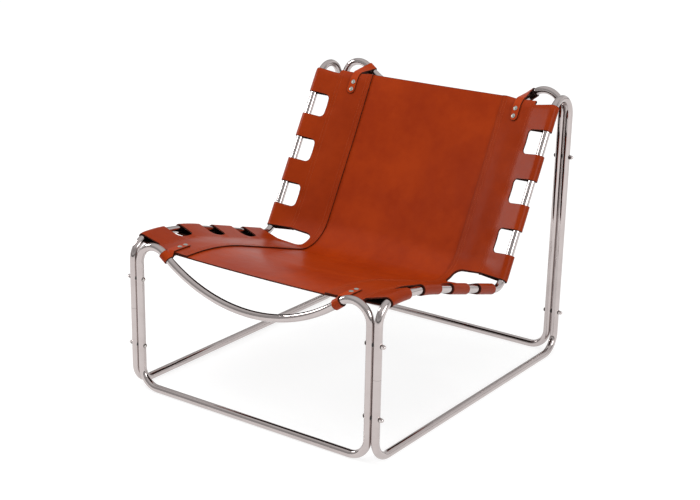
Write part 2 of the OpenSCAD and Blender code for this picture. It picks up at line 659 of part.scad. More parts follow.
side_loop_left();
side_loop_right();
front_loop();
rear_loop();
joint_sleeves();
bolts_front();
bolts_rear();
dome_nuts_front();
dome_nuts_rear();
washers_front();
washers_rear();
spacers_front();
spacers_rear();
centre_panel();
side_panel_left();
side_panel_right();
strap_front_left();
strap_front_right();
strap_rear_left();
strap_rear_right();
rivets_front();
rivets_rear();
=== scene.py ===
"""Low lounge chair with a saddle-leather sling between loops of chromed steel tube.

The tubes, bolts, nuts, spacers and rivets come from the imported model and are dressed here. The
sling and its corner straps are cut, thickened and stitched here, and stand for the plain forms.
"""

import logging
import math
from dataclasses import dataclass
from enum import Enum
from typing import Any

import bpy
from mathutils import Matrix, Vector
from mathutils.kdtree import KDTree


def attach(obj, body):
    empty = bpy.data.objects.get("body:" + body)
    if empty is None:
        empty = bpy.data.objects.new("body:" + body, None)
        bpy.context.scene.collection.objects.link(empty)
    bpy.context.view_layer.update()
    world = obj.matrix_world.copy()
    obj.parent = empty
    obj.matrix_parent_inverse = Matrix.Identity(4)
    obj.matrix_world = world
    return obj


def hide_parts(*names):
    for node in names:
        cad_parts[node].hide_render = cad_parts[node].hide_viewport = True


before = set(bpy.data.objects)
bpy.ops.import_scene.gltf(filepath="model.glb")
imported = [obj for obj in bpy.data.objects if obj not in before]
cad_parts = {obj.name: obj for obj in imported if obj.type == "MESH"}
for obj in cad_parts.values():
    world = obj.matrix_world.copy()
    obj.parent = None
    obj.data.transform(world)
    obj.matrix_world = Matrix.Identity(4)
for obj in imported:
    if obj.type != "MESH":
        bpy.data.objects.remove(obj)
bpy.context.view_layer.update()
LOG = logging.getLogger("lounge_chair")
Grid = list[list[Vector]]
Cells = list[list[bool]]
Number = "float | Wire"
Span = tuple[float, float]
Point = tuple[float, float, float]
Loop = tuple[int, ...]
Rung = tuple[Vector, Vector]
Colour = tuple[float, float, float, float]


@dataclass(frozen=True)
class ChairSizes:
    """Driving sizes of the chair in metres and radians, as in the part's source."""

    frame_w: float = 0.760
    frame_d: float = 0.888
    seat_h: float = 0.400
    front_step: float = 0.002
    rear_step: float = 0.006
    tube_d: float = 0.020
    loop_gap: float = 0.0015
    bend_r: float = 0.050
    corner_r: float = 0.038
    crown_r: float = 0.680
    seat_fall: float = math.radians(15.9)
    seat_depth: float = 0.545
    back_lean: float = math.radians(28.8)
    bow_slope: float = math.radians(38.3)
    leather_t: float = 0.0035
    seat_tab_w: float = 0.076
    seat_tab_front: float = 0.024
    seat_tab_rear: float = 0.084
    back_tab_w: float = 0.066
    back_tab_low: float = 0.0545
    back_tab_high: float = 0.021
    panel_in: float = 0.161
    seam_in: float = 0.065
    panel_over: float = 0.004
    slot_in: float = 0.052
    fold_slot_in: float = 0.139
    flap_in: float = 0.059
    slot_r: float = 0.013
    fold_slot_r: float = 0.020
    front_gap: float = 0.018
    top_over: float = 0.0155
    curl_l: float = 0.026
    curl_r: float = 0.039
    fold_r: float = 0.110
    front_drop: float = 0.0095
    seat_drop: float = 0.0135
    back_drop: float = 0.021
    top_drop: float = 0.0165
    seam_drop: float = 0.0065
    seat_sag: float = 0.010
    back_sag: float = 0.010
    edge_sag: float = 0.002
    strap_w: float = 0.022
    strap_t: float = 0.003
    strap_in: float = 0.110
    strap_l: float = 0.0645
    rivet_d: float = 0.012
    rivet_at: float = 0.012
    rivet_pitch: float = 0.021


@dataclass(frozen=True)
class Pose:
    """Place and heading in the chair's side plane, with y counted from the front uprights."""

    y: float
    z: float
    heading: float

    def moved(self, along: float) -> "Pose":
        """Returns the pose carried straight on along its heading."""
        return Pose(self.y + along * math.cos(self.heading),
                    self.z + along * math.sin(self.heading), self.heading)


def mix(low: float, high: float, share: float) -> float:
    """Returns the value between low and high at a share that is held from 0 to 1."""
    return low + (high - low) * max(0.0, min(1.0, share))


def smooth(share: float) -> float:
    """Returns an eased share from 0 to 1."""
    held = max(0.0, min(1.0, share))
    return held * held * (3.0 - 2.0 * held)


def grey(value: float) -> Colour:
    """Returns a grey as a colour."""
    return (value, value, value, 1.0)


class RailPath:
    """Centre line of a side loop's rails, from the front bend over seat and back to the top."""

    def __init__(self, s: ChairSizes) -> None:
        """Works out the straights and bends.

        Args:
            s: The chair's sizes.
        """
        tube_r = s.tube_d / 2
        self.rail_c = s.seat_h - tube_r
        self.back_a = math.pi / 2 - s.back_lean
        self.fold_a = s.seat_fall + self.back_a
        crown_y = s.bend_r + s.crown_r * math.sin(s.seat_fall)
        crown_z = self.rail_c - s.crown_r * (1 - math.cos(s.seat_fall))
        span = s.frame_d - s.tube_d
        self.corner = Pose(s.seat_depth,
                           crown_z - (s.seat_depth - crown_y) * math.tan(s.seat_fall), self.back_a)
        self.corner_l = s.corner_r * math.tan(self.fold_a / 2)
        self.top_s = ((span - s.bend_r - s.seat_depth - s.bend_r * math.cos(s.back_lean))
                      / math.sin(s.back_lean))
        self.top_z = (self.corner.z + self.top_s * math.cos(s.back_lean)
                      - s.bend_r * math.sin(s.back_lean))
        self.seat_run = (s.seat_depth - crown_y) / math.cos(s.seat_fall) - self.corner_l
        self.crown_len = s.crown_r * s.seat_fall
        self.crown_u = s.bend_r * math.pi / 2
        self.start = Pose(0.0, self.rail_c - s.bend_r, math.pi / 2)
        self.runs = (
            (0.0, -math.pi / 2, s.bend_r),
            (0.0, -s.seat_fall, s.crown_r),
            (self.seat_run, self.fold_a, s.corner_r),
            (self.top_s - self.corner_l, -math.pi / 2 - self.back_a, s.bend_r),
        )

    def at(self, along: float) -> Pose:
        """Finds the centre line's pose.

        Args:
            along: Distance from the start of the front bend.

        Returns:
            The pose there.
        """
        here = self.start
        for length, turn, radius in self.runs:
            if along <= length:
                return here.moved(along)
            here = here.moved(length)
            along -= length
            side = math.copysign(1.0, turn)
            arc = abs(turn) * radius
            heading = here.heading + side * min(along, arc) / radius
            here = Pose(here.y + side * radius * (math.sin(heading) - math.sin(here.heading)),
                        here.z - side * radius * (math.cos(heading) - math.cos(here.heading)),
                        heading)
            if along <= arc:
                return here
            along -= arc
        return here.moved(along)


class SlingSurface:
    """The sling's own shape: t runs along it from the end of the rails' front bend, x across.

    The class's values are the sizes of its soft forms: the rounding of the seam line, the swell
    and droop of the side panels, the small radii of the cuts and the gaps between the layers.
    """

    kink_soft = 0.007
    puff_h = 0.0006
    puff_x = 0.223
    puff_w = 0.062
    droop_h = 0.0022
    droop_x = 0.272
    droop_w = 0.046
    relief_fade = 0.05
    seat_drop_share = 0.9
    back_drop_share = 0.55
    flap_r = 0.004
    notch_r = 0.005
    wrap_gap_share = 0.02
    leather_gaps = 14
    strap_gaps = 20
    tab_n = 4
    corner_n = 6
    row_gap = 1e-5
    least_turn = 1e-6

    def __init__(self, s: ChairSizes) -> None:
        """Works out the sling's curve, its tabs and its lines across the chair.

        Args:
            s: The chair's sizes.
        """
        self.s = s
        self.rail = RailPath(s)
        rail = self.rail
        tube_r = s.tube_d / 2
        self.front_y = -(s.frame_d - s.tube_d) / 2
        self.side_x = s.frame_w / 2 - tube_r
        turn = math.sin(rail.fold_a)
        corner_y = (s.back_drop * math.cos(s.seat_fall)
                    - s.seat_drop * math.cos(rail.back_a)) / turn
        corner_z = (-s.back_drop * math.sin(s.seat_fall)
                    - s.seat_drop * math.sin(rail.back_a)) / turn
        fold_l = s.fold_r * math.tan(rail.fold_a / 2)
        middle = rail.back_a - rail.fold_a / 2
        reach = s.fold_r / math.cos(rail.fold_a / 2)
        self.fold_y = rail.corner.y + corner_y - reach * math.sin(middle)
        self.fold_z = rail.corner.z + corner_z + reach * math.cos(middle)
        self.t_in = (rail.crown_len + rail.seat_run + rail.corner_l
                     + corner_y * math.cos(s.seat_fall) - corner_z * math.sin(s.seat_fall)
                     - fold_l)
        self.t_out = self.t_in + s.fold_r * rail.fold_a
        self.s_out = corner_y * math.cos(rail.back_a) + corner_z * math.sin(rail.back_a) + fold_l
        self.t_mid = (self.t_in + self.t_out) / 2
        self.t_front = s.front_gap - s.bend_r
        seat_last = rail.crown_len + rail.seat_run + rail.corner_l - s.seat_tab_rear
        self.tabs = (self.tab_row(s.seat_tab_front, seat_last, s.seat_tab_w)
                     + self.tab_row(self.back_t(s.back_tab_low),
                                    self.back_t(rail.top_s - s.back_tab_high), s.back_tab_w))
        self.slots = [(low[1], high[0]) for low, high in zip(self.tabs, self.tabs[1:])]
        self.fold_slot = self.slots.pop(self.tab_n - 1)
        self.tab_start, self.tab_stop = self.tabs[0][0], self.tabs[-1][1]
        self.t_top = self.tab_stop + s.top_over
        self.wrap_r = tube_r + s.tube_d * self.wrap_gap_share + s.leather_t / 2
        self.inner_x = self.side_x - s.panel_in
        self.seam_x = self.side_x - s.seam_in
        self.slot_x = self.side_x - s.slot_in
        self.flap_x = self.side_x - s.flap_in
        self.fold_slot_x = self.side_x - s.fold_slot_in
        self.strap_x = self.side_x - s.strap_in
        self.tab_x = self.slot_x + s.slot_r
        self.fold_line_x = self.fold_slot_x + s.fold_slot_r
        self.layer_gap = s.leather_t / self.leather_gaps
        self.strap_gap = s.strap_t / self.strap_gaps
        self.under_lift = -2.5 * s.leather_t - 2 * self.layer_gap
        self.rise_a = self.slope(-s.seam_drop - s.leather_t / 2, 1)
        self.fall_a = self.slope(-s.seam_drop + self.under_lift, -1)
        self.touch_x = self.side_x - self.wrap_r * math.sin(self.rise_a)
        self.return_x = self.side_x + self.wrap_r * math.sin(self.fall_a)

    def back_t(self, up: float) -> float:
        """Returns the place along the sling of a distance up the back from its corner."""
        return self.t_out + up - self.s_out

    def tab_row(self, first: float, last: float, width: float) -> list[Span]:
        """Spreads the tabs of the seat or the back evenly.

        Args:
            first: Middle of the first tab along the sling.
            last: Middle of the last tab.
            width: Width of each tab.

        Returns:
            Start and end of each tab.
        """
        middles = [first + (last - first) * i / (self.tab_n - 1) for i in range(self.tab_n)]
        return [(m - width / 2, m + width / 2) for m in middles]

    def drop(self, t: float) -> float:
        """Returns the depth of the side panels' inner edges below the rails.

        Args:
            t: Place along the sling.

        Returns:
            The depth.
        """
        s = self.s
        if t < self.t_in:
            return mix(s.front_drop, s.seat_drop, t / (self.t_in * self.seat_drop_share))
        if t < self.t_out:
            return mix(s.seat_drop, s.back_drop, (t - self.t_in) / (self.t_out - self.t_in))
        back = self.t_top - self.t_out
        start = self.t_out + back * self.back_drop_share
        return mix(s.back_drop, s.top_drop, (t - start) / (self.t_top - start))

    def sag(self, t: float) -> float:
        """Returns how far the middle of the centre panel hangs below its sides.

        Args:
            t: Place along the sling.

        Returns:
            The depth of the sag.
        """
        s = self.s
        if t < self.t_mid:
            wave = math.sin(math.pi * (t - self.t_front) / (self.t_mid - self.t_front))
            return s.edge_sag + (s.seat_sag - s.edge_sag) * wave
        wave = math.sin(math.pi * (t - self.t_mid) / (self.t_top - self.t_mid))
        return s.edge_sag + (s.back_sag - s.edge_sag) * wave

    def edge_pose(self, t: float) -> Pose:
        """Returns the pose that the sling's cross-section hangs from.

        Args:
            t: Place along the sling.

        Returns:
            The pose from which the drop is counted.
        """
        if t < 0:
            return Pose(self.s.bend_r + t, self.rail.rail_c, 0.0)
        if t < self.t_in:
            return self.rail.at(self.rail.crown_u + t)
        if t < self.t_out:
            heading = -self.s.seat_fall + (t - self.t_in) / self.s.fold_r
            radius = self.s.fold_r - self.drop(t)
            return Pose(self.fold_y + radius * math.sin(heading),
                        self.fold_z - radius * math.cos(heading), heading)
        return self.rail.corner.moved(self.s_out + t - self.t_out)

    def rail_pose(self, t: float) -> Pose:
        """Returns the pose of the rail that a tab wraps, carried straight on past the end tabs.

        Args:
            t: Place along the sling.

        Returns:
            The pose of the rail's centre line.
        """
        held = min(max(t, self.tab_start), self.tab_stop)
        rail = self.rail
        if held < self.t_mid:
            here = rail.at(rail.crown_u + held)
        else:
            here = rail.at(rail.crown_u + rail.crown_len + rail.seat_run
                           + self.s.corner_r * rail.fold_a
                           + self.s_out + held - self.t_out - rail.corner_l)
        return here.moved(t - held)

    def spot(self, pose: Pose, x: float, lift: float) -> Vector:
        """Returns the point at a height above a pose, x from the chair's middle plane."""
        return Vector((x, self.front_y + pose.y - lift * math.sin(pose.heading),
                       pose.z + lift * math.cos(pose.heading)))

    def slope(self, lift: float, side: int) -> float:
        """Returns the slope of a line from the seam that just touches a sleeve round the rail.

        Args:
            lift: Height of the line's start above the rail's middle.
            side: 1 where the line touches the top of the sleeve, -1 where it touches the bottom.

        Returns:
            The slope in radians.
        """
        reach = self.s.seam_in
        return math.atan2(-lift, reach) + side * math.asin(self.wrap_r / math.hypot(reach, lift))

    def kink(self, t: float, x: float) -> float:
        """Returns the lift that rounds off the seam line, where the tabs rise to the rails.

        Args:
            t: Place along the sling.
            x: Distance from the chair's middle plane.

        Returns:
            The lift, which is 0 away from the seam.
        """
        offset = abs(x) - self.seam_x
        if abs(offset) >= self.kink_soft:
            return 0.0
        inner = (self.drop(t) - self.s.seam_drop) / (self.seam_x - self.inner_x)
        outer = math.tan(self.rise_a)
        bend = (offset + self.kink_soft) ** 2 / (4 * self.kink_soft)
        return (outer - inner) * (bend - max(offset, 0.0))

    def face(self, t: float, x: float) -> float:
        """Returns the height of the side panels' upper face, up to the seam.

        Args:
            t: Place along the sling.
            x: Distance from the chair's middle plane.

        Returns:
            The height above the rails.
        """
        across = abs(x)
        drop = self.drop(t)
        if across <= self.inner_x:
            return -drop - self.sag(t) * (1 - (across / self.inner_x) ** 2)
        share = (across - self.inner_x) / (self.seam_x - self.inner_x)
        return mix(-drop, -self.s.seam_drop, share)

    def slot_share(self, t: float) -> float:
        """Returns how deep t is in a gap between two tabs, from 0 at the tabs to 1 halfway.

        Args:
            t: Place along the sling.

        Returns:
            The share.
        """
        for start, end in self.slots:
            if start < t < end:
                return math.sin(math.pi * (t - start) / (end - start)) ** 2
        return 0.0

    def relief(self, t: float, x: float) -> float:
        """Returns the small swell and droop of the side panels between their seams and tabs.

        Args:
            t: Place along the sling.
            x: Distance from the chair's middle plane.

        Returns:
            The lift, above or below 0.
        """
        across = abs(x)
        free = smooth((t - self.t_front - self.s.strap_l) / self.relief_fade)
        free *= smooth((self.t_top - self.s.strap_l - t) / self.relief_fade)
        swell = math.sin(math.pi * mix(0.0, 1.0, (across - self.puff_x) / self.puff_w)) ** 2
        droop = self.slot_share(t) * smooth((across - self.droop_x) / self.droop_w)
        return free * self.puff_h * swell - self.droop_h * droop

    def past_curl(self, t: float) -> float:
        """Returns how far t lies past the start of the top corners' curl."""
        return max(0.0, t - self.t_top + self.s.curl_l)

    def curl_turn(self, t: float, x: float) -> float:
        """Returns the angle by which the rear straps bend a top corner back.

        Args:
            t: Place along the sling.
            x: Distance from the chair's middle plane.

        Returns:
            The angle, which is 0 away from the top corners.
        """
        across = abs(x)
        start = smooth((across - self.inner_x) / (self.fold_line_x - self.inner_x))
        end = 1.0 - smooth((across - self.seam_x) / (self.tab_x - self.seam_x))
        return self.past_curl(t) * start * end / self.s.curl_r

    def bent(self, t: float, x: float, base: float, lift: float) -> Vector:
        """Returns a point of the sling, whose top corners bend back.

        Args:
            t: Place along the sling.
            x: Distance from the chair's middle plane.
            base: Height of the side panel's upper face.
            lift: Height of the point above that face, square to it.

        Returns:
            The point.
        """
        past = self.past_curl(t)
        turn = self.curl_turn(t, x)
        if turn < self.least_turn:
            return self.spot(self.edge_pose(t), x, base + lift)
        radius = past / turn
        pose = self.edge_pose(t - past).moved((radius + lift) * math.sin(turn))
        return self.spot(pose, x, base - radius + (radius + lift) * math.cos(turn))

    def upper(self, t: float, x: float) -> Vector:
        """Finds a point on the middle of the side panel's skin, above the rails.

        Args:
            t: Place along the sling.
            x: Distance from the chair's middle plane, up to where the sleeve starts to turn.

        Returns:
            The point.
        """
        half = self.s.leather_t / 2
        extra = self.kink(t, x) + self.relief(t, x)
        if x <= self.seam_x:
            return self.bent(t, x, self.face(t, x), extra - half)
        seam = self.bent(t, self.seam_x, -self.s.seam_drop, extra - half)
        touch = self.spot(self.rail_pose(t), self.touch_x,
                          self.wrap_r * math.cos(self.rise_a) + extra)
        return seam.lerp(touch, (x - self.seam_x) / (self.touch_x - self.seam_x))

    def under(self, t: float, x: float) -> Vector:
        """Returns a point on the middle of the sleeve's return, below the centre panel.

        Args:
            t: Place along the sling.
            x: Distance from the chair's middle plane, up to where the sleeve stops turning.

        Returns:
            The point.
        """
        lift = self.under_lift + self.kink(t, x)
        if x <= self.seam_x:
            return self.bent(t, x, self.face(t, x), lift)
        seam = self.bent(t, self.seam_x, -self.s.seam_drop, lift)
        touch = self.spot(self.rail_pose(t), self.return_x, -self.wrap_r * math.cos(self.fall_a))
        return seam.lerp(touch, (x - self.seam_x) / (self.return_x - self.seam_x))

    def middle(self, t: float, x: float) -> Vector:
        """Returns a point on the middle of the centre panel's skin, under the side panels.

        Args:
            t: Place along the sling.
            x: Distance from the chair's middle plane.

        Returns:
            The point.
        """
        lift = -1.5 * self.s.leather_t - self.layer_gap + self.kink(t, x)
        across = abs(x)
        if across <= self.seam_x:
            return self.bent(t, x, self.face(t, x), lift)
        rise = (across - self.seam_x) * math.tan(self.rise_a)
        return self.bent(t, x, -self.s.seam_drop + rise, lift)

    def on_face(self, t: float, x: float, lift: float) -> Vector:
        """Returns a point at a height above the side panel's upper face."""
        return self.bent(t, x, self.face(t, x), lift)

    @staticmethod
    def rounding(inward: float, radius: float) -> float:
        """Returns how far a rounded corner stands off its side, at a distance from its end."""
        if inward >= radius:
            return 0.0
        return radius - math.sqrt(max(0.0, radius * radius - (radius - inward) ** 2))

    def outer_edge(self, t: float) -> float:
        """Returns the side panel's outer edge between the tabs, or the sleeve's start in a tab.

        Args:
            t: Place along the sling.

        Returns:
            The distance from the chair's middle plane.
        """
        if t < self.tab_start:
            free = self.rounding(t - self.t_front, self.flap_r)
            return self.flap_x - free + self.rounding(self.tab_start - t, self.notch_r)
        if t > self.tab_stop:
            free = self.rounding(self.t_top - t, self.flap_r)
            return self.flap_x - free + self.rounding(t - self.tab_stop, self.notch_r)
        for start, end in self.slots:
            if start < t < end:
                return self.slot_x + self.rounding(min(t - start, end - t), self.s.slot_r)
        return self.tab_x

    def fold_edge(self, t: float) -> float:
        """Returns the edge of the corner cut-out, or a line on the panels where there is none."""
        inward = max(0.0, min(t - self.fold_slot[0], self.fold_slot[1] - t))
        return self.fold_slot_x + self.rounding(inward, self.s.fold_slot_r)

    def in_tab(self, t: float) -> bool:
        """Returns whether t lies in a tab."""
        return any(start < t < end for start, end in self.tabs)

    def in_fold_slot(self, t: float) -> bool:
        """Returns whether t lies in the cut-out at the corner of seat and back."""
        return self.fold_slot[0] < t < self.fold_slot[1]

    def stations(self, step: float) -> list[float]:
        """Lists the places along the sling for a mesh's rows, with all rounded corners in them.

        Args:
            step: Widest spacing of the rows.

        Returns:
            The places in order.
        """
        marks = {self.t_front, self.t_top, self.t_in, self.t_out, 0.0}
        rounds = [(self.t_front, 1, self.flap_r), (self.t_top, -1, self.flap_r),
                  (self.tab_start, -1, self.notch_r), (self.tab_stop, 1, self.notch_r),
                  (self.fold_slot[0], 1, self.s.fold_slot_r),
                  (self.fold_slot[1], -1, self.s.fold_slot_r)]
        for start, end in self.slots:
            rounds += [(start, 1, self.s.slot_r), (end, -1, self.s.slot_r)]
        for at, way, radius in rounds:
            for k in range(self.corner_n + 1):
                inward = radius * (1 - math.cos(math.pi / 2 * k / self.corner_n))
                if self.t_front <= at + way * inward <= self.t_top:
                    marks.add(at + way * inward)
        for tab in self.tabs:
            marks.update(tab)
        ordered = sorted(marks)
        kept = [ordered[0]]
        for t in ordered[1:]:
            if t - kept[-1] > self.row_gap:
                kept.append(t)
        rows = []
        for low, high in zip(kept, kept[1:]):
            parts = max(1, math.ceil((high - low) / step))
            rows += [low + (high - low) * k / parts for k in range(parts)]
        return rows + [kept[-1]]


def place_object(name: str, data: bpy.types.ID) -> bpy.types.Object:
    """Puts a mesh, lamp or camera into the scene.

    Args:
        name: The object's name.
        data: Its data.

    Returns:
        The object.
    """
    item = bpy.data.objects.new(name, data)
    bpy.context.scene.collection.objects.link(item)
    return item


def smooth_mesh(name: str, points: list[Point], faces: list[Loop],
                materials: list[bpy.types.Material]) -> bpy.types.Mesh:
    """Makes a mesh with smooth shading.

    Args:
        name: The mesh's name.
        points: Its points.
        faces: Its faces, as numbers of points.
        materials: Its material slots.

    Returns:
        The mesh.
    """
    mesh = bpy.data.meshes.new(name)
    mesh.from_pydata(points, [], faces)
    for material in materials:
        mesh.materials.append(material)
    for polygon in mesh.polygons:
        polygon.use_smooth = True
    return mesh


class LeatherSkin:
    """A cut of leather: a grid of points on its middle, thickened, with a rounded rim."""

    rim_steps = 4
    rim_bulge = 0.30

    def __init__(self, name: str, thickness: float, rows: Grid, cells: Cells) -> None:
        """Joins the grid's used cells.

        Args:
            name: The piece's name.
            thickness: The leather's thickness.
            rows: Points on the middle of the leather.
            cells: Which cells of the grid hold leather.
        """
        self.name = name
        self.thickness = thickness
        wide = len(rows[0])
        used: dict[int, int] = {}
        self.points: list[Vector] = []
        self.faces: list[Loop] = []
        for i, line in enumerate(cells):
            for j, filled in enumerate(line):
                if not filled:
                    continue
                corners = (i * wide + j, i * wide + j + 1, (i + 1) * wide + j + 1,
                           (i + 1) * wide + j)
                for corner in corners:
                    if corner not in used:
                        used[corner] = len(self.points)
                        self.points.append(rows[corner // wide][corner % wide])
                self.faces.append(tuple(used[corner] for corner in corners))

    def mirrored(self) -> "LeatherSkin":
        """Turns the cut into its mirror image across the chair and returns it."""
        self.points = [Vector((-p.x, p.y, p.z)) for p in self.points]
        self.faces = [tuple(reversed(face)) for face in self.faces]
        return self

    def flat_area(self) -> float:
        """Returns the area of the leather's middle.

        Returns:
            The area in square metres.
        """
        total = 0.0
        for a, b, c, d in self.faces:
            p, q, r, s = (self.points[k] for k in (a, b, c, d))
            total += ((q - p).cross(r - p).length + (r - p).cross(s - p).length) / 2
        return total

    def normals(self) -> list[Vector]:
        """Returns the unit normal of the leather at each point.

        Returns:
            One normal a point.
        """
        sums = [Vector() for _ in self.points]
        for face in self.faces:
            p, q, r, s = (self.points[k] for k in face)
            across = (r - p).cross(s - q)
            for k in face:
                sums[k] += across
        return [total.normalized() for total in sums]

    def rim(self) -> list[tuple[int, int]]:
        """Returns the directed edges that only one cell has.

        Returns:
            The two point numbers of each edge.
        """
        seen: set[tuple[int, int]] = set()
        for face in self.faces:
            seen.update(zip(face, face[1:] + face[:1]))
        return [edge for edge in seen if (edge[1], edge[0]) not in seen]

    def build(self, grain: bpy.types.Material, leathers: "Leathers") -> bpy.types.Object:
        """Makes the closed mesh, with a distance to the nearest cut edge at every point.

        Args:
            grain: Material of the upper or outer face.
            leathers: The shared finishes, for the flesh side and the rim.

        Returns:
            The piece.
        """
        half = self.thickness / 2
        normals = self.normals()
        rim = sorted(self.rim())
        n = len(self.points)
        outward: dict[int, Vector] = {}
        for a, b in rim:
            away = (self.points[b] - self.points[a]).normalized().cross(normals[a])
            for k in (a, b):
                outward[k] = outward.get(k, Vector()) + away
        points = [p + normal * half for p, normal in zip(self.points, normals)]
        points += [p - normal * half for p, normal in zip(self.points, normals)]
        faces = list(self.faces) + [tuple(k + n for k in reversed(face)) for face in self.faces]
        rings: dict[int, list[int]] = {}
        for k, away in outward.items():
            ring = [k]
            for step in range(1, self.rim_steps):
                angle = math.pi / 2 - math.pi * step / self.rim_steps
                ring.append(len(points))
                points.append(self.points[k] + normals[k] * (half * math.sin(angle))
                              + away.normalized() * (self.thickness * self.rim_bulge
                                                     * math.cos(angle)))
            rings[k] = ring + [k + n]
        grain_n, skin_n = len(self.faces), len(faces)
        for a, b in rim:
            for high, low in zip(range(self.rim_steps), range(1, self.rim_steps + 1)):
                faces.append((rings[b][high], rings[a][high], rings[a][low], rings[b][low]))
        mesh = smooth_mesh(self.name, [tuple(p) for p in points], faces,
                           [grain, leathers.flesh, leathers.edge])
        for k, polygon in enumerate(mesh.polygons):
            polygon.material_index = int(k >= grain_n) + int(k >= skin_n)
        corners = {frozenset((a + low, b + low)) for a, b in rim for low in (0, n)}
        for line in mesh.edges:
            line.use_edge_sharp = frozenset(line.vertices) in corners
        self.mark_edges(mesh, [self.points[k] for k in outward])
        return place_object(self.name, mesh)

    @staticmethod
    def mark_edges(mesh: bpy.types.Mesh, cut: list[Vector]) -> None:
        """Writes each point's distance to the nearest cut edge.

        Args:
            mesh: The finished mesh.
            cut: Points along the cut edges.
        """
        tree = KDTree(len(cut))
        for k, place in enumerate(cut):
            tree.insert(place, k)
        tree.balance()
        marks = mesh.attributes.new("cut_edge", "FLOAT", "POINT")
        marks.data.foreach_set("value", [tree.find(v.co)[2] for v in mesh.vertices])


class Wire:
    """A node's socket that takes part in Python expressions and adds their Math nodes."""

    def __init__(self, bench: "ShaderBench", socket: bpy.types.NodeSocket | None) -> None:
        """Holds a socket.

        Args:
            bench: The bench that the socket's node stands on.
            socket: The output socket, or None for a node without outputs.
        """
        self.bench = bench
        self.socket = socket

    def __add__(self, other: Number) -> "Wire":
        """Returns the sum."""
        return self.bench.maths("ADD", self, other)

    def __radd__(self, other: Number) -> "Wire":
        """Returns the sum."""
        return self.bench.maths("ADD", other, self)

    def __sub__(self, other: Number) -> "Wire":
        """Returns the difference."""
        return self.bench.maths("SUBTRACT", self, other)

    def __rsub__(self, other: Number) -> "Wire":
        """Returns the difference."""
        return self.bench.maths("SUBTRACT", other, self)

    def __mul__(self, other: Number) -> "Wire":
        """Returns the product."""
        return self.bench.maths("MULTIPLY", self, other)

    def __rmul__(self, other: Number) -> "Wire":
        """Returns the product."""
        return self.bench.maths("MULTIPLY", other, self)


class ShaderBench:
    """The node tree of one finish."""

    def __init__(self, tree: bpy.types.NodeTree) -> None:
        """Clears a tree.

        Args:
            tree: The node tree to build in.
        """
        self.tree = tree
        tree.nodes.clear()

    def add(self, kind: str, settings: dict[str, Any] | None = None,
            sockets: dict[Any, Any] | None = None, output: int | str = 0) -> Wire:
        """Adds a node.

        Args:
            kind: The node's type.
            settings: Its properties, and a colour ramp's stops, which are set first.
            sockets: Values or wires for its inputs.
            output: The output that is handed back.

        Returns:
            The chosen output.
        """
        node = self.tree.nodes.new(kind)
        for key, value in (settings or {}).items():
            if key == "stops":
                self.fill_ramp(node.color_ramp, value)
            else:
                setattr(node, key, value)
        for key, value in (sockets or {}).items():
            if isinstance(value, Wire):
                self.tree.links.new(value.socket, node.inputs[key])
            else:
                node.inputs[key].default_value = value
        return Wire(self, node.outputs[output] if len(node.outputs) else None)

    @staticmethod
    def fill_ramp(ramp: bpy.types.ColorRamp, stops: list[tuple[float, float]]) -> None:
        """Sets a ramp's stops to grey values.

        Args:
            ramp: The colour ramp.
            stops: Position and grey value of each stop.
        """
        while len(ramp.elements) < len(stops):
            ramp.elements.new(1.0)
        for element, (position, shade) in zip(ramp.elements, stops):
            element.position = position
            element.color = grey(shade)

    def maths(self, operation: str, first: Number, second: Number = 0.0) -> Wire:
        """Returns a Math node's result."""
        return self.add("ShaderNodeMath", {"operation": operation}, {0: first, 1: second})

    def fade(self, value: Wire, low: float, high: float) -> Wire:
        """Returns a smooth step of the value from low to high."""
        return self.add("ShaderNodeMapRange", {"interpolation_type": "SMOOTHSTEP"},
                        {"Value": value, "From Min": low, "From Max": high})

    def blend(self, share: Number, first: Any, second: Any) -> Wire:
        """Returns a blend of two colours."""
        return self.add("ShaderNodeMix", {"data_type": "RGBA"},
                        {0: share, 6: first, 7: second}, output=2)

    def noise(self, place: Wire, scale: float, detail: float = 2.0, rough: float = 0.5) -> Wire:
        """Returns soft noise from 0 to 1."""
        return self.add("ShaderNodeTexNoise", {}, {"Vector": place, "Scale": scale,
                                                   "Detail": detail, "Roughness": rough})

    def bump(self, height: Wire, depth: float) -> Wire:
        """Returns a normal bent by a height from 0 to 1 that stands for a depth in metres."""
        return self.add("ShaderNodeBump", {}, {"Height": height, "Distance": depth,
                                               "Strength": 1.0})

    def grey_ramp(self, value: Wire, stops: list[tuple[float, float]]) -> Wire:
        """Returns the grey that a ramp with these stops gives a value."""
        return self.add("ShaderNodeValToRGB", {"stops": stops}, {0: value})

    def surface(self, sockets: dict[str, Any]) -> None:
        """Ends the finish in a Principled shader with these socket values or wires."""
        shader = self.add("ShaderNodeBsdfPrincipled", {}, sockets)
        self.add("ShaderNodeOutputMaterial", {}, {"Surface": shader})


def new_material(name: str) -> tuple[bpy.types.Material, ShaderBench]:
    """Makes an empty material.

    Args:
        name: The material's name.

    Returns:
        The material and the bench for its nodes.
    """
    material = bpy.data.materials.new(name)
    material.use_nodes = True
    return material, ShaderBench(material.node_tree)


@dataclass(frozen=True)
class Finish:
    """A finish on one Principled shader."""

    name: str

    def sockets(self, bench: ShaderBench, place: Wire) -> dict[str, Any]:
        """Returns the shader's socket values and wires.

        Args:
            bench: The bench of the finish's nodes.
            place: The place on the object.

        Returns:
            A value or wire for each named socket.
        """
        raise NotImplementedError

    def make(self) -> bpy.types.Material:
        """Builds and returns the material."""
        material, bench = new_material(self.name)
        bench.surface(self.sockets(bench, bench.add("ShaderNodeTexCoord", output="Object")))
        return material


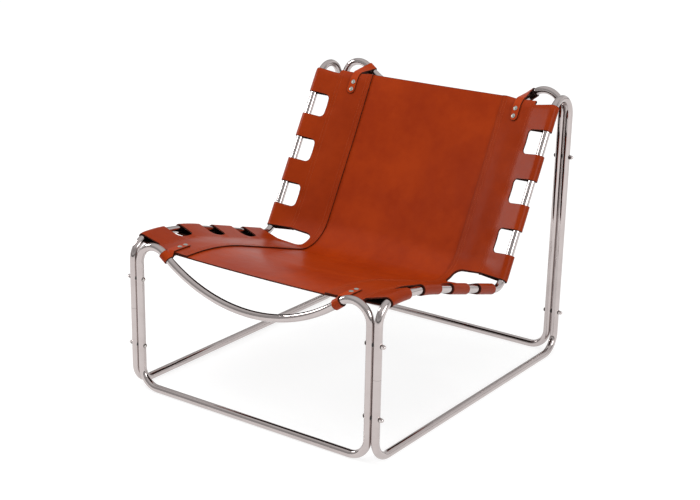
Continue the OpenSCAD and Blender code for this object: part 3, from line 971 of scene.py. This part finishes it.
class LeatherTone(Enum):
    """Base and shade colours of the cuts of leather, as linear values."""

    PANEL = ((0.326, 0.0340, 0.0021, 1.0), (0.250, 0.0221, 0.0016, 1.0))
    SIDE = ((0.286, 0.0300, 0.0022, 1.0), (0.229, 0.0212, 0.0016, 1.0))
    STRAP = ((0.390, 0.0440, 0.0040, 1.0), (0.300, 0.0290, 0.0028, 1.0))


@dataclass(frozen=True)
class SaddleLeather(Finish):
    """Thick vegetable-tanned hide: mottled, finely grained, waxed, darker along its cut edges."""

    tone: LeatherTone
    burnish: Colour = (0.080, 0.0095, 0.0024, 1.0)
    burnish_w: float = 0.0009
    wave_depth: float = 0.0007

    def sockets(self, bench: ShaderBench, place: Wire) -> dict[str, Any]:
        """Returns the shader's socket values and wires.

        Args:
            bench: The bench of the finish's nodes.
            place: The place on the object.

        Returns:
            A value or wire for each named socket.
        """
        base, shade = self.tone.value
        cloud = bench.noise(place, 6.0, 3.0, 0.55)
        patch = bench.noise(place, 38.0, 4.0, 0.6)
        specks = bench.noise(place, 210.0, 2.0, 0.5)
        pores = bench.add("ShaderNodeTexVoronoi", {}, {"Vector": place, "Scale": 950.0})
        creases = bench.noise(place, 480.0, 3.0, 0.62)
        edge = bench.add("ShaderNodeAttribute", {"attribute_name": "cut_edge"}, output="Fac")
        mottle = bench.fade(cloud * 0.7 + patch * 0.3, 0.30, 0.70)
        spots = bench.fade(specks, 0.66, 0.76) * 0.35
        colour = bench.blend(mottle, shade, base)
        colour = bench.blend(spots, colour, shade)
        rim = 1.0 - bench.fade(edge, self.burnish_w * 0.5, self.burnish_w * 2.6)
        colour = bench.blend(rim * 0.75, colour, self.burnish)
        height = creases * 0.030 + pores * 0.024 + bench.noise(place, 26.0, 2.0)
        return {
            "Base Color": colour,
            "Roughness": 0.28 + patch * 0.07 + creases * 0.05 + rim * 0.25,
            "Specular IOR Level": 0.09,
            "Normal": bench.bump(height, self.wave_depth),
        }


@dataclass(frozen=True)
class CutEdge(Finish):
    """Burnished cut edge of the hide."""

    colour: Colour = (0.050, 0.0085, 0.0038, 1.0)
    worn: Colour = (0.130, 0.0180, 0.0055, 1.0)

    def sockets(self, bench: ShaderBench, place: Wire) -> dict[str, Any]:
        """Returns the shader's socket values and wires.

        Args:
            bench: The bench of the finish's nodes.
            place: The place on the object.

        Returns:
            A value or wire for each named socket.
        """
        wear = bench.fade(bench.noise(place, 60.0, 3.0), 0.42, 0.66)
        fibres = bench.noise(place, 1400.0, 2.0)
        return {
            "Base Color": bench.blend(wear * 0.6, self.colour, self.worn),
            "Roughness": 0.60 + fibres * 0.16,
            "Specular IOR Level": 0.12,
            "Normal": bench.bump(fibres, 0.00010),
        }


@dataclass(frozen=True)
class FleshSide(Finish):
    """Dark, dull inner side of the hide, with short fibres."""

    colour: Colour = (0.0130, 0.0075, 0.0060, 1.0)
    worn: Colour = (0.0380, 0.0170, 0.0110, 1.0)

    def sockets(self, bench: ShaderBench, place: Wire) -> dict[str, Any]:
        """Returns the shader's socket values and wires.

        Args:
            bench: The bench of the finish's nodes.
            place: The place on the object.

        Returns:
            A value or wire for each named socket.
        """
        cloud = bench.noise(place, 11.0, 4.0, 0.6)
        fibres = bench.noise(place, 700.0, 3.0, 0.6)
        return {
            "Base Color": bench.blend(bench.fade(cloud * 0.6 + fibres * 0.4, 0.36, 0.66),
                                      self.colour, self.worn),
            "Roughness": 0.78 + fibres * 0.14,
            "Specular IOR Level": 0.16,
            "Normal": bench.bump(fibres, 0.00012),
        }


@dataclass(frozen=True)
class WaxedThread(Finish):
    """Waxed thread in the leather's own colour, with a fine twist."""

    light: Colour = (0.440, 0.0800, 0.0220, 1.0)
    dark: Colour = (0.250, 0.0320, 0.0080, 1.0)

    def sockets(self, bench: ShaderBench, place: Wire) -> dict[str, Any]:
        """Returns the shader's socket values and wires.

        Args:
            bench: The bench of the finish's nodes.
            place: The place on the object.

        Returns:
            A value or wire for each named socket.
        """
        fibres = bench.noise(place, 900.0, 2.0)
        return {
            "Base Color": bench.blend(bench.fade(fibres, 0.35, 0.65), self.dark, self.light),
            "Roughness": 0.62 + fibres * 0.12,
            "Specular IOR Level": 0.25,
            "Normal": bench.bump(fibres, 0.00012),
        }


@dataclass(frozen=True)
class Metal(Finish):
    """Plated or bare metal with faint polishing waves."""

    colour: Colour
    shade: Colour
    roughness: float
    wave_depth: float = 0.00002
    brush_scale: float = 70.0

    def sockets(self, bench: ShaderBench, place: Wire) -> dict[str, Any]:
        """Returns the shader's socket values and wires.

        Args:
            bench: The bench of the finish's nodes.
            place: The place on the object.

        Returns:
            A value or wire for each named socket.
        """
        waves = bench.noise(place, self.brush_scale, 3.0, 0.55)
        haze = bench.fade(bench.noise(place, 14.0, 4.0, 0.6), 0.38, 0.72)
        return {
            "Base Color": bench.blend(haze * 0.5, self.colour, self.shade),
            "Metallic": 1.0,
            "Roughness": self.roughness + haze * self.roughness * 0.5,
            "Normal": bench.bump(waves, self.wave_depth),
        }


@dataclass(frozen=True)
class Rubber(Finish):
    """Black rubber with a dull, faintly mottled skin."""

    colour: Colour = (0.012, 0.011, 0.011, 1.0)
    bloom: Colour = (0.030, 0.028, 0.027, 1.0)

    def sockets(self, bench: ShaderBench, place: Wire) -> dict[str, Any]:
        """Returns the shader's socket values and wires.

        Args:
            bench: The bench of the finish's nodes.
            place: The place on the object.

        Returns:
            A value or wire for each named socket.
        """
        mottle = bench.noise(place, 260.0, 3.0)
        return {
            "Base Color": bench.blend(bench.fade(mottle, 0.45, 0.75), self.colour, self.bloom),
            "Roughness": 0.55 + mottle * 0.2,
            "Normal": bench.bump(mottle, 0.00006),
        }


class Leathers:
    """The finishes of hide and thread, made once and shared by the pieces."""

    def __init__(self) -> None:
        """Makes the materials."""
        self.panel = SaddleLeather("hide_centre", LeatherTone.PANEL).make()
        self.side = SaddleLeather("hide_side", LeatherTone.SIDE).make()
        self.strap = SaddleLeather("hide_strap", LeatherTone.STRAP).make()
        self.edge = CutEdge("hide_cut_edge").make()
        self.flesh = FleshSide("hide_flesh_side").make()
        self.thread = WaxedThread("waxed_thread").make()


class Side(Enum):
    """The chair's two sides, as signs along X."""

    LEFT = -1
    RIGHT = 1

    @property
    def word(self) -> str:
        """The side's name in small letters."""
        return self.name.lower()


@dataclass
class SidePanel:
    """Side panel with eight tabs that wrap the rails and are sewn down underneath.

    The fields that end in _n count the mesh's cells across the strip beside the inner seam, the
    field, a tab's foot, its rise to the rail, its wrap, its return and the lip past the seam.
    """

    sling: SlingSurface
    leathers: Leathers
    side: Side
    row_step: float = 0.0042
    lip: float = 0.006
    strip_n: int = 5
    field_n: int = 10
    tab_n: int = 8
    rise_n: int = 7
    wrap_n: int = 18
    return_n: int = 13
    lip_n: int = 2

    def row(self, t: float) -> list[Vector]:
        """Lists the points across the panel, round the sleeve and back to the seam.

        Args:
            t: Place along the sling.

        Returns:
            The points from the inner edge outward.
        """
        sling = self.sling
        fold, outer = sling.fold_edge(t), sling.outer_edge(t)
        stretches = ((sling.inner_x, fold, self.strip_n), (fold, sling.seam_x, self.field_n),
                     (sling.seam_x, outer, self.tab_n), (outer, sling.touch_x, self.rise_n))
        points = [sling.upper(t, mix(low, high, k / parts))
                  for low, high, parts in stretches for k in range(parts)]
        pose = sling.rail_pose(t)
        start, end = math.pi / 2 + sling.rise_a, -math.pi / 2 + sling.fall_a
        for k in range(self.wrap_n + 1):
            angle = start + (end - start) * k / self.wrap_n
            points.append(sling.spot(pose, sling.side_x + sling.wrap_r * math.cos(angle),
                                     sling.wrap_r * math.sin(angle)))
        points += [sling.under(t, mix(sling.return_x, sling.seam_x, k / self.return_n))
                   for k in range(1, self.return_n + 1)]
        points += [sling.under(t, sling.seam_x - self.lip * k / self.lip_n)
                   for k in range(1, self.lip_n + 1)]
        return points

    def cells_across(self, t: float, full: int) -> int:
        """Returns how many of a row's cells hold leather: strip, tab or the part between tabs.

        Args:
            t: Place along the sling.
            full: How many cells the row has.

        Returns:
            The number of cells.
        """
        if self.sling.in_fold_slot(t):
            return self.strip_n
        return full if self.sling.in_tab(t) else self.strip_n + self.field_n + self.tab_n

    def build(self) -> bpy.types.Object:
        """Returns:
            The piece.
        """
        sling = self.sling
        places = sling.stations(self.row_step)
        rows = [self.row(t) for t in places]
        full = len(rows[0]) - 1
        cells = []
        for low, high in zip(places, places[1:]):
            wide = self.cells_across((low + high) / 2, full)
            cells.append([j < wide for j in range(full)])
        skin = LeatherSkin(f"side_panel_leather_{self.side.word}", sling.s.leather_t, rows, cells)
        if self.side is Side.LEFT:
            skin.mirrored()
        piece = skin.build(self.leathers.side, self.leathers)
        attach(piece, "root")
        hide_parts(f"side_panel_{self.side.word}")
        self.flat = (self.flat_width(rows), sling.t_top - sling.t_front)
        self.area = skin.flat_area()
        return piece

    @staticmethod
    def flat_width(rows: Grid) -> float:
        """Returns the widest way across the panel, round a sleeve to the end of its return."""
        return max(sum((b - a).length for a, b in zip(row, row[1:])) for row in rows)


@dataclass
class CentrePanel:
    """Centre panel of the sling, sewn between the layers of the side panels.

    The fields that end in _n count the mesh's cells in half the field and in an edge under the
    side panel.
    """

    sling: SlingSurface
    leathers: Leathers
    row_step: float = 0.0055
    field_n: int = 40
    edge_n: int = 9

    def row(self, t: float) -> list[Vector]:
        """Lists the points across the panel.

        Args:
            t: Place along the sling.

        Returns:
            The points from left to right.
        """
        sling = self.sling
        fold = sling.fold_edge(t)
        reach = sling.seam_x + sling.s.panel_over
        right = ([mix(0.0, fold, k / self.field_n) for k in range(1, self.field_n + 1)]
                 + [mix(fold, reach, k / self.edge_n) for k in range(1, self.edge_n + 1)])
        return [sling.middle(t, x) for x in [-x for x in reversed(right)] + [0.0] + right]

    def build(self) -> bpy.types.Object:
        """Returns:
            The piece.
        """
        sling = self.sling
        places = sling.stations(self.row_step)
        rows = [self.row(t) for t in places]
        wide = len(rows[0]) - 1
        cells = []
        for low, high in zip(places, places[1:]):
            cut = self.edge_n if sling.in_fold_slot((low + high) / 2) else 0
            cells.append([cut <= j < wide - cut for j in range(wide)])
        skin = LeatherSkin("centre_panel_leather", sling.s.leather_t, rows, cells)
        piece = skin.build(self.leathers.panel, self.leathers)
        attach(piece, "root")
        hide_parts("centre_panel")
        self.flat = (SidePanel.flat_width(rows), sling.t_top - sling.t_front)
        self.area = skin.flat_area()
        return piece


class StrapEnd(Enum):
    """The ends of the sling that the corner straps tie down."""

    FRONT = "front"
    REAR = "rear"


@dataclass
class CornerStrap:
    """Strap riveted to both faces of the sling and turned round a bowed cross tube.

    The fields that end in _n count the mesh's cells in a bend, a rounded tip, the curl of a top
    corner, the turn round the tube and the strap's width.
    """

    sling: SlingSurface
    leathers: Leathers
    end: StrapEnd
    side: Side
    turn_n: int = 6
    tip_n: int = 7
    curl_n: int = 8
    hook_n: int = 26
    across_n: int = 6
    step: float = 0.004
    leave_angle: float = math.radians(60)
    edge_clear: float = 0.0009
    top_turn_r: float = 0.018
    low_turn_r: float = 0.0072
    rivet_clear: float = 0.65

    def __post_init__(self) -> None:
        """Works out the bowed tube that the strap turns round."""
        s = self.sling.s
        tube_r = s.tube_d / 2
        up_x = self.sling.side_x - s.tube_d - s.loop_gap
        half = up_x - s.bend_r
        self.bow_r = (half - s.bend_r * math.sin(s.bow_slope)) / math.sin(s.bow_slope)
        rail = self.sling.rail
        height = (s.seat_h - s.front_step if self.end is StrapEnd.FRONT
                  else rail.top_z + s.bend_r + tube_r + s.rear_step)
        x = self.sling.strap_x
        bow_z = (height - tube_r - s.bend_r * (1 - math.cos(s.bow_slope))
                 + self.bow_r * math.cos(s.bow_slope) - math.sqrt(self.bow_r ** 2 - x * x))
        y = self.sling.front_y if self.end is StrapEnd.FRONT else -self.sling.front_y
        self.bow = Vector((x, y, bow_z))
        tilt = math.asin(x / self.bow_r)
        self.bow_along = Vector((math.cos(tilt), 0.0, math.sin(tilt)))
        self.bow_up = Vector((-math.sin(tilt), 0.0, math.cos(tilt)))
        self.hook_r = tube_r + self.sling.strap_gap + s.strap_t / 2

    def flat_rung(self, t: float, half_w: float, lift: float) -> Rung:
        """Returns the strap's two edges where it lies on the sling.

        Args:
            t: Place along the sling.
            half_w: Half the width of the strap there.
            lift: Height of the strap's lower face above the side panel.

        Returns:
            The two edge points.
        """
        x = self.sling.strap_x
        mid = lift + self.sling.s.strap_t / 2
        return (self.sling.on_face(t, x - half_w, mid), self.sling.on_face(t, x + half_w, mid))

    def hook_rung(self, angle: float) -> Rung:
        """Returns the strap's two edges where it turns round the bowed tube.

        Args:
            angle: Angle round the tube, counted from +Y upward.

        Returns:
            The two edge points.
        """
        ray = Vector((0.0, math.cos(angle), 0.0)) + self.bow_up * math.sin(angle)
        half = self.bow_along * (self.sling.s.strap_w / 2)
        centre = self.bow + ray * self.hook_r
        return centre - half, centre + half

    def turn_rungs(self, t: float, lift: float, radius: float) -> list[Rung]:
        """Lists the rungs where a rear strap bends away from the back.

        Args:
            t: Place along the sling where the bend starts.
            lift: Height of the strap's lower face above the side panel.
            radius: Radius of the bend.

        Returns:
            The rungs from the bend's start on.
        """
        sling, s = self.sling, self.sling.s
        x, half = sling.strap_x, s.strap_w / 2
        tilt = (sling.face(t, x + half) - sling.face(t, x - half)) / 2
        centre = sling.on_face(t, x, lift + s.strap_t / 2 - radius)
        start = sling.curl_turn(t, x)
        rungs = []
        for k in range(1, self.turn_n + 1):
            angle = (self.leave_angle - start) * k / self.turn_n
            heading = sling.edge_pose(t).heading + math.pi / 2 - start - angle
            out = Vector((0.0, math.cos(heading), math.sin(heading)))
            edges = [centre + Vector((side * half, 0.0, 0.0))
                     + out * (radius + side * tilt * math.cos(angle)) for side in (-1, 1)]
            rungs.append((edges[0], edges[1]))
        return rungs

    def meeting(self, rung: Rung, way: int) -> float:
        """Finds where the strap's straight leg from a rung meets the bowed tube.

        Args:
            rung: The leg's first rung.
            way: 1 where the strap goes on clockwise round the tube, else -1.

        Returns:
            The angle round the tube, for the edge that bends more.
        """
        angles = []
        for k, point in zip((-1, 1), rung):
            gap = point - self.bow - self.bow_along * (k * self.sling.s.strap_w / 2)
            up = gap.dot(self.bow_up)
            base = (math.pi if gap.y < 0 else 0.0) + math.atan(up / gap.y)
            angles.append(base + way * math.acos(self.hook_r / math.hypot(gap.y, up)))
        return min(angles) if way > 0 else max(angles)

    def tip_rungs(self, end_t: float, way: int, lift: float) -> list[Rung]:
        """Lists the rungs of a rounded strap end.

        Args:
            end_t: Place of the strap's end along the sling.
            way: 1 where the strap goes on towards larger t, else -1.
            lift: Height of the strap's lower face above the side panel.

        Returns:
            The rungs from the tip on.
        """
        half = self.sling.s.strap_w / 2
        rungs = []
        for k in range(1, self.tip_n + 1):
            angle = math.pi / 2 * k / self.tip_n
            inward = half * (1 - math.cos(angle))
            rungs.append(self.flat_rung(end_t + way * inward, half * math.sin(angle), lift))
        return rungs

    def rungs(self) -> list[Rung]:
        """Lists the strap's rungs from its upper end round the tube to its lower end.

        Returns:
            Pairs of edge points.
        """
        sling, s = self.sling, self.sling.s
        half = s.strap_w / 2
        top_lift = sling.strap_gap
        low_lift = -2 * s.leather_t - sling.layer_gap - sling.strap_gap - s.strap_t
        out = self.edge_clear
        if self.end is StrapEnd.FRONT:
            end_t = sling.t_front + s.strap_l
            far = [self.flat_rung(t, half, top_lift) for t in (0.0, sling.t_front - out)]
            over = self.tip_rungs(end_t, -1, top_lift) + far
            near = [self.flat_rung(t, half, low_lift) for t in (sling.t_front - out, 0.0)]
            back = near + list(reversed(self.tip_rungs(end_t, -1, low_lift)))
            start, end = self.meeting(over[-1], 1), self.meeting(back[0], -1) + 2 * math.pi
        else:
            end_t = sling.t_top - s.strap_l
            low_t = end_t + s.rivet_at + s.rivet_pitch + s.rivet_d * self.rivet_clear
            top_t, curl_t = sling.t_top + out, sling.t_top - s.curl_l
            over = self.tip_rungs(end_t, 1, top_lift)
            over += [self.flat_rung(mix(curl_t, top_t, k / self.curl_n), half, top_lift)
                     for k in range(self.curl_n + 1)]
            over += self.turn_rungs(top_t, top_lift, self.top_turn_r)
            back = list(reversed(self.turn_rungs(low_t, low_lift, self.low_turn_r)))
            back += [self.flat_rung(low_t, half, low_lift)]
            back += list(reversed(self.tip_rungs(end_t, 1, low_lift)))
            start, end = self.meeting(over[-1], -1), self.meeting(back[0], 1) - 2 * math.pi
        hook = [self.hook_rung(start + (end - start) * k / self.hook_n)
                for k in range(self.hook_n + 1)]
        return over + hook + back

    def grid(self) -> Grid:
        """Returns the strap's points, with long straight stretches divided.

        Returns:
            Rows of points across the strap.
        """
        rungs = self.rungs()
        lines: list[list[Vector]] = []
        for here, ahead in zip(rungs, rungs[1:]):
            gap = max((b - a).length for a, b in zip(here, ahead))
            parts = max(1, math.ceil(gap / self.step))
            for k in range(parts):
                lines.append([a.lerp(b, k / parts) for a, b in zip(here, ahead)])
        lines.append(list(rungs[-1]))
        return [[a.lerp(b, j / self.across_n) for j in range(self.across_n + 1)]
                for a, b in lines]

    def build(self) -> bpy.types.Object:
        """Cuts and turns the strap.

        Returns:
            The piece.
        """
        rows = self.grid()
        cells = [[True] * (len(rows[0]) - 1) for _ in rows[1:]]
        if self.end is StrapEnd.FRONT:
            rows = [list(reversed(row)) for row in rows]
        name = f"{self.end.value}_{self.side.word}"
        skin = LeatherSkin(f"strap_leather_{name}", self.sling.s.strap_t, rows, cells)
        if self.side is Side.LEFT:
            skin.mirrored()
        piece = skin.build(self.leathers.strap, self.leathers)
        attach(piece, "root")
        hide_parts(f"strap_{name}")
        return piece


class SeamFace(Enum):
    """Where a row of stitches shows."""

    TOP = "top"
    BOTTOM = "bottom"


@dataclass
class SeamStitching:
    """Double rows of saddle stitches along one side of the sling."""

    sling: SlingSurface
    leathers: Leathers
    side: Side
    face: SeamFace
    pitch: float = 0.0050
    length: float = 0.0041
    thread_r: float = 0.00046
    end_in: float = 0.005
    row_in: float = 0.0060
    row_pitch: float = 0.0085
    row_past: float = 0.0030
    probe: float = 1e-3
    round_n: int = 6
    profile: tuple[Point, ...] = (
        (-1.0, 0.12, -0.9), (-0.86, 0.72, -0.1), (-0.45, 1.0, 0.35),
        (0.45, 1.0, 0.35), (0.86, 0.72, -0.1), (1.0, 0.12, -0.9))

    def rows(self) -> list[tuple[float, bool]]:
        """Returns each row's distance from the middle, and whether the corner cut-out stops it."""
        inner, seam = self.sling.inner_x, self.sling.seam_x
        return [(inner + self.row_in, False), (inner + self.row_in + self.row_pitch, False),
                (seam - self.row_in, True), (seam + self.row_past, True)]

    def base(self, t: float, x: float, cut: bool) -> Vector:
        """Returns the middle of the layer that shows the stitch.

        Args:
            t: Place along the sling.
            x: Distance from the chair's middle plane.
            cut: Whether the corner cut-out stops the row.

        Returns:
            The point.
        """
        if self.face is SeamFace.TOP:
            return self.sling.upper(t, x)
        if cut and self.sling.in_tab(t):
            return self.sling.under(t, x)
        return self.sling.middle(t, x)

    def places(self, cut: bool) -> list[float]:
        """Lists the middles of a row's stitches.

        Args:
            cut: Whether the corner cut-out stops the row.

        Returns:
            Places along the sling.
        """
        sling = self.sling
        spans = [(sling.t_front, sling.t_top)]
        if cut:
            spans = [(sling.t_front, sling.fold_slot[0]), (sling.fold_slot[1], sling.t_top)]
        middles = []
        for start, end in spans:
            first, last = start + self.end_in, end - self.end_in
            count = int((last - first) / self.pitch)
            middles += [first + (last - first) * (k + 0.5) / count for k in range(count)]
        if self.face is SeamFace.BOTTOM and cut:
            middles = [t for t in middles
                       if all(abs(t - mark) > self.length for tab in sling.tabs for mark in tab)]
        return middles

    def build(self) -> bpy.types.Object:
        """Sews the rows as one mesh of short, sunk capsules.

        Returns:
            The piece.
        """
        half = self.sling.s.leather_t / 2
        way = 1.0 if self.face is SeamFace.TOP else -1.0
        probe, round_n = self.probe, self.round_n
        points: list[Point] = []
        faces: list[Loop] = []
        for x, cut in self.rows():
            for middle in self.places(cut):
                ahead = self.base(middle + probe, x, cut) - self.base(middle - probe, x, cut)
                across = self.base(middle, x + probe, cut) - self.base(middle, x - probe, cut)
                along = ahead.normalized()
                up = across.cross(ahead).normalized() * way
                beside = along.cross(up)
                home = self.base(middle, x, cut) + up * half
                first = len(points)
                for share, width, lift in self.profile:
                    centre = home + along * (share * self.length / 2) + up * (lift * self.thread_r)
                    for k in range(round_n):
                        angle = 2 * math.pi * k / round_n
                        arm = beside * math.cos(angle) + up * math.sin(angle)
                        points.append(tuple(centre + arm * (self.thread_r * width)))
                last = first + (len(self.profile) - 1) * round_n
                for low in range(first, last, round_n):
                    high = low + round_n
                    for k in range(round_n):
                        after = (k + 1) % round_n
                        faces.append((low + k, high + k, high + after, low + after))
                faces.append(tuple(first + k for k in range(round_n)))
                faces.append(tuple(last + k for k in reversed(range(round_n))))
        if self.side is Side.LEFT:
            points = [(-x, y, z) for x, y, z in points]
            faces = [tuple(reversed(face)) for face in faces]
        name = f"seam_stitches_{self.face.value}_{self.side.word}"
        piece = place_object(name, smooth_mesh(name, points, faces, [self.leathers.thread]))
        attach(piece, "root")
        return piece


class MetalWork:
    """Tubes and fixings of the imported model, dressed in plated metal and rubber."""

    def __init__(self) -> None:
        """Makes the metal finishes and says which nodes each dresses."""
        self.dress = (
            (Metal("tube_chrome_plate", (0.520, 0.465, 0.455, 1.0), (0.440, 0.385, 0.375, 1.0),
                   0.085), ("side_loop_left", "side_loop_right", "front_loop", "rear_loop")),
            (Metal("dome_nut_chrome", (0.600, 0.550, 0.540, 1.0), (0.480, 0.430, 0.420, 1.0),
                   0.12), ("dome_nuts_front", "dome_nuts_rear")),
            (Metal("bolt_plate", (0.560, 0.520, 0.500, 1.0), (0.420, 0.390, 0.370, 1.0), 0.16),
             ("bolts_front", "bolts_rear")),
            (Metal("washer_steel", (0.200, 0.180, 0.170, 1.0), (0.110, 0.100, 0.095, 1.0), 0.34),
             ("washers_front", "washers_rear", "joint_sleeves")),
            (Metal("rivet_nickel_plate", (0.470, 0.490, 0.460, 1.0), (0.320, 0.340, 0.310, 1.0),
                   0.34, 0.00005, 260.0), ("rivets_front", "rivets_rear")),
            (Rubber("spacer_rubber"), ("spacers_front", "spacers_rear")),
        )

    def build(self) -> None:
        """Puts the finishes on the nodes."""
        for finish, nodes in self.dress:
            material = finish.make()
            for name in nodes:
                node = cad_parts[name]
                for slot in node.material_slots:
                    slot.material = material
                LOG.info("dressed %s in %s", name, finish.name)


@dataclass
class PhotoCamera:
    """Camera at the photograph's viewing angle."""

    place: Point = (2.0172, -2.9038, 1.4973)
    azimuth: float = math.radians(34.994)
    pitch: float = math.radians(18.254)
    roll: float = math.radians(1.225)
    lens: float = 73.84

    def build(self) -> None:
        """Sets up the camera."""
        forward = Vector((-math.sin(self.azimuth) * math.cos(self.pitch),
                          math.cos(self.azimuth) * math.cos(self.pitch), -math.sin(self.pitch)))
        level = Vector((math.cos(self.azimuth), math.sin(self.azimuth), 0.0))
        above = level.cross(forward)
        right = level * math.cos(self.roll) + above * math.sin(self.roll)
        up = above * math.cos(self.roll) - level * math.sin(self.roll)
        data = bpy.data.cameras.new("photo_camera")
        data.lens = self.lens
        camera = place_object("photo_camera", data)
        turn = Matrix((right, up, -forward)).transposed().to_4x4()
        camera.matrix_world = Matrix.Translation(self.place) @ turn
        bpy.context.scene.camera = camera


@dataclass(frozen=True)
class SoftBox:
    """Square studio lamp that looks at the chair."""

    name: str
    place: Point
    size: tuple[float, float]
    power: float
    target: Point = (0.0, 0.0, 0.35)
    mirrored: bool = True

    def build(self) -> None:
        """Hangs the lamp."""
        data = bpy.data.lights.new(self.name, "AREA")
        data.shape = "RECTANGLE"
        data.size, data.size_y = self.size
        data.energy = self.power
        lamp = place_object(self.name, data)
        lamp.location = self.place
        look = Vector(self.target) - Vector(self.place)
        lamp.rotation_euler = look.to_track_quat("-Z", "Y").to_euler()
        lamp.visible_glossy = self.mirrored


class Studio:
    """White floor, soft lamps and the pale room that the tubes mirror."""

    lamps = (
        SoftBox("overhead_lamp", (-0.3, -0.5, 3.2), (2.8, 2.4), 60.0, mirrored=False),
        SoftBox("right_lamp", (2.9, -0.7, 1.75), (1.7, 1.2), 38.0),
        SoftBox("left_lamp", (-2.27, -0.60, 1.48), (0.40, 0.75), 18.5),
    )
    ambient = 0.42
    near_stops = [(0.0, 0.95), (0.53, 0.90), (0.60, 0.60), (0.69, 0.42), (0.77, 0.42),
                  (0.86, 0.74), (1.0, 0.80)]
    far_stops = [(0.0, 0.50), (0.54, 0.50), (0.57, 0.94), (0.68, 0.94), (0.76, 0.76),
                 (1.0, 0.80)]
    far_east = (-0.35, 0.10)
    far_north = (0.35, 0.60)
    gap_south = (0.05, 0.35)
    gap_height = (0.10, 0.18)
    gap_share = 0.85
    gap_grey = 0.08
    floor_reach = 30.0
    floor_plain = 0.82
    floor_tint = 0.33
    floor_near = 0.79
    floor_far = 0.90
    fade_start = 0.9
    fade_end = 3.2

    @staticmethod
    def seen(bench: ShaderBench) -> Wire:
        """Returns 1 for rays from the camera, off metal or through glass, else 0."""
        rays = [bench.add("ShaderNodeLightPath", output=name)
                for name in ("Is Camera Ray", "Is Glossy Ray", "Is Transmission Ray")]
        return bench.maths("MAXIMUM", bench.maths("MAXIMUM", rays[0], rays[1]), rays[2])

    def light_room(self) -> None:
        """Makes the world: plain light on the chair, and a pale room for its metal."""
        scene = bpy.context.scene
        scene.world = bpy.data.worlds.new("pale_room")
        scene.world.use_nodes = True
        bench = ShaderBench(scene.world.node_tree)
        way = bench.add("ShaderNodeTexCoord", output="Generated")
        east, north, height = [bench.add("ShaderNodeSeparateXYZ", {}, {0: way}, output=axis)
                               for axis in range(3)]
        white = grey(1.0)
        level = height * 0.5 + 0.5
        behind = bench.fade(east, *self.far_east) * bench.fade(north, *self.far_north)
        walls = bench.blend(behind, bench.grey_ramp(level, self.near_stops),
                            bench.grey_ramp(level, self.far_stops))
        gap = (bench.fade(0.0 - north, *self.gap_south)
               * (1.0 - bench.fade(height, *self.gap_height)))
        walls = bench.blend(gap * self.gap_share, walls, grey(self.gap_grey))
        glossy = bench.add("ShaderNodeLightPath", output="Is Glossy Ray")
        colour = bench.blend(glossy, white, walls)
        room = bench.add("ShaderNodeBackground", {}, {"Color": colour, "Strength": 1.0})
        plain = bench.add("ShaderNodeBackground", {}, {"Color": white, "Strength": self.ambient})
        both = bench.add("ShaderNodeMixShader", {}, {0: self.seen(bench), 1: plain, 2: room})
        bench.add("ShaderNodeOutputWorld", {}, {"Surface": both})

    def lay_floor(self) -> None:
        """Lays the white floor, which keeps the chair's shadow."""
        material, bench = new_material("white_floor")
        plain = bench.add("ShaderNodeBsdfDiffuse", {}, {"Color": grey(self.floor_plain)})
        tinted = bench.add("ShaderNodeBsdfDiffuse", {}, {"Color": grey(self.floor_tint)})
        place = bench.add("ShaderNodeTexCoord", output="Object")
        away = bench.add("ShaderNodeVectorMath", {"operation": "LENGTH"}, {0: place}, output=1)
        colour = bench.blend(bench.fade(away, self.fade_start, self.fade_end),
                             grey(self.floor_near), grey(self.floor_far))
        glow = bench.add("ShaderNodeEmission", {}, {"Color": colour, "Strength": 1.0})
        pale = bench.add("ShaderNodeAddShader", {}, {0: tinted, 1: glow})
        both = bench.add("ShaderNodeMixShader", {}, {0: self.seen(bench), 1: plain, 2: pale})
        bench.add("ShaderNodeOutputMaterial", {}, {"Surface": both})
        corners = [(x * self.floor_reach, y * self.floor_reach, 0.0)
                   for x, y in ((-1, -1), (1, -1), (1, 1), (-1, 1))]
        mesh = smooth_mesh("studio_floor", corners, [(0, 1, 2, 3)], [material])
        floor = place_object("studio_floor", mesh)

    def build(self) -> None:
        """Sets up the whole studio."""
        bpy.context.scene.view_settings.view_transform = "Standard"
        self.light_room()
        self.lay_floor()
        for lamp in self.lamps:
            lamp.build()
        LOG.info("studio with %d lamps", len(self.lamps))


def build_sling(sling: SlingSurface) -> None:
    """Cuts, sews and straps the whole sling.

    Args:
        sling: The sling's surface.
    """
    leathers = Leathers()
    centre = CentrePanel(sling, leathers)
    centre_piece = centre.build()
    LOG.info("centre panel: flat %.3f x %.3f m, %.3f m2", *centre.flat, centre.area)
    for side in Side:
        panel = SidePanel(sling, leathers, side)
        piece = panel.build()
        threads = [SeamStitching(sling, leathers, side, face).build() for face in SeamFace]
        LOG.info("side panel %s: flat %.3f x %.3f m, %.3f m2", side.word, *panel.flat, panel.area)
        LOG.info("sewn with %s", " and ".join(thread.name for thread in threads))
        for end in StrapEnd:
            CornerStrap(sling, leathers, end, side).build()
            LOG.info("strap %s %s", end.value, side.word)


def main() -> None:
    """Builds the chair's looks and its studio."""
    logging.basicConfig(level=logging.INFO, format="%(message)s")
    PhotoCamera().build()
    Studio().build()
    MetalWork().build()
    build_sling(SlingSurface(ChairSizes()))


if __name__ == "__main__":
    main()
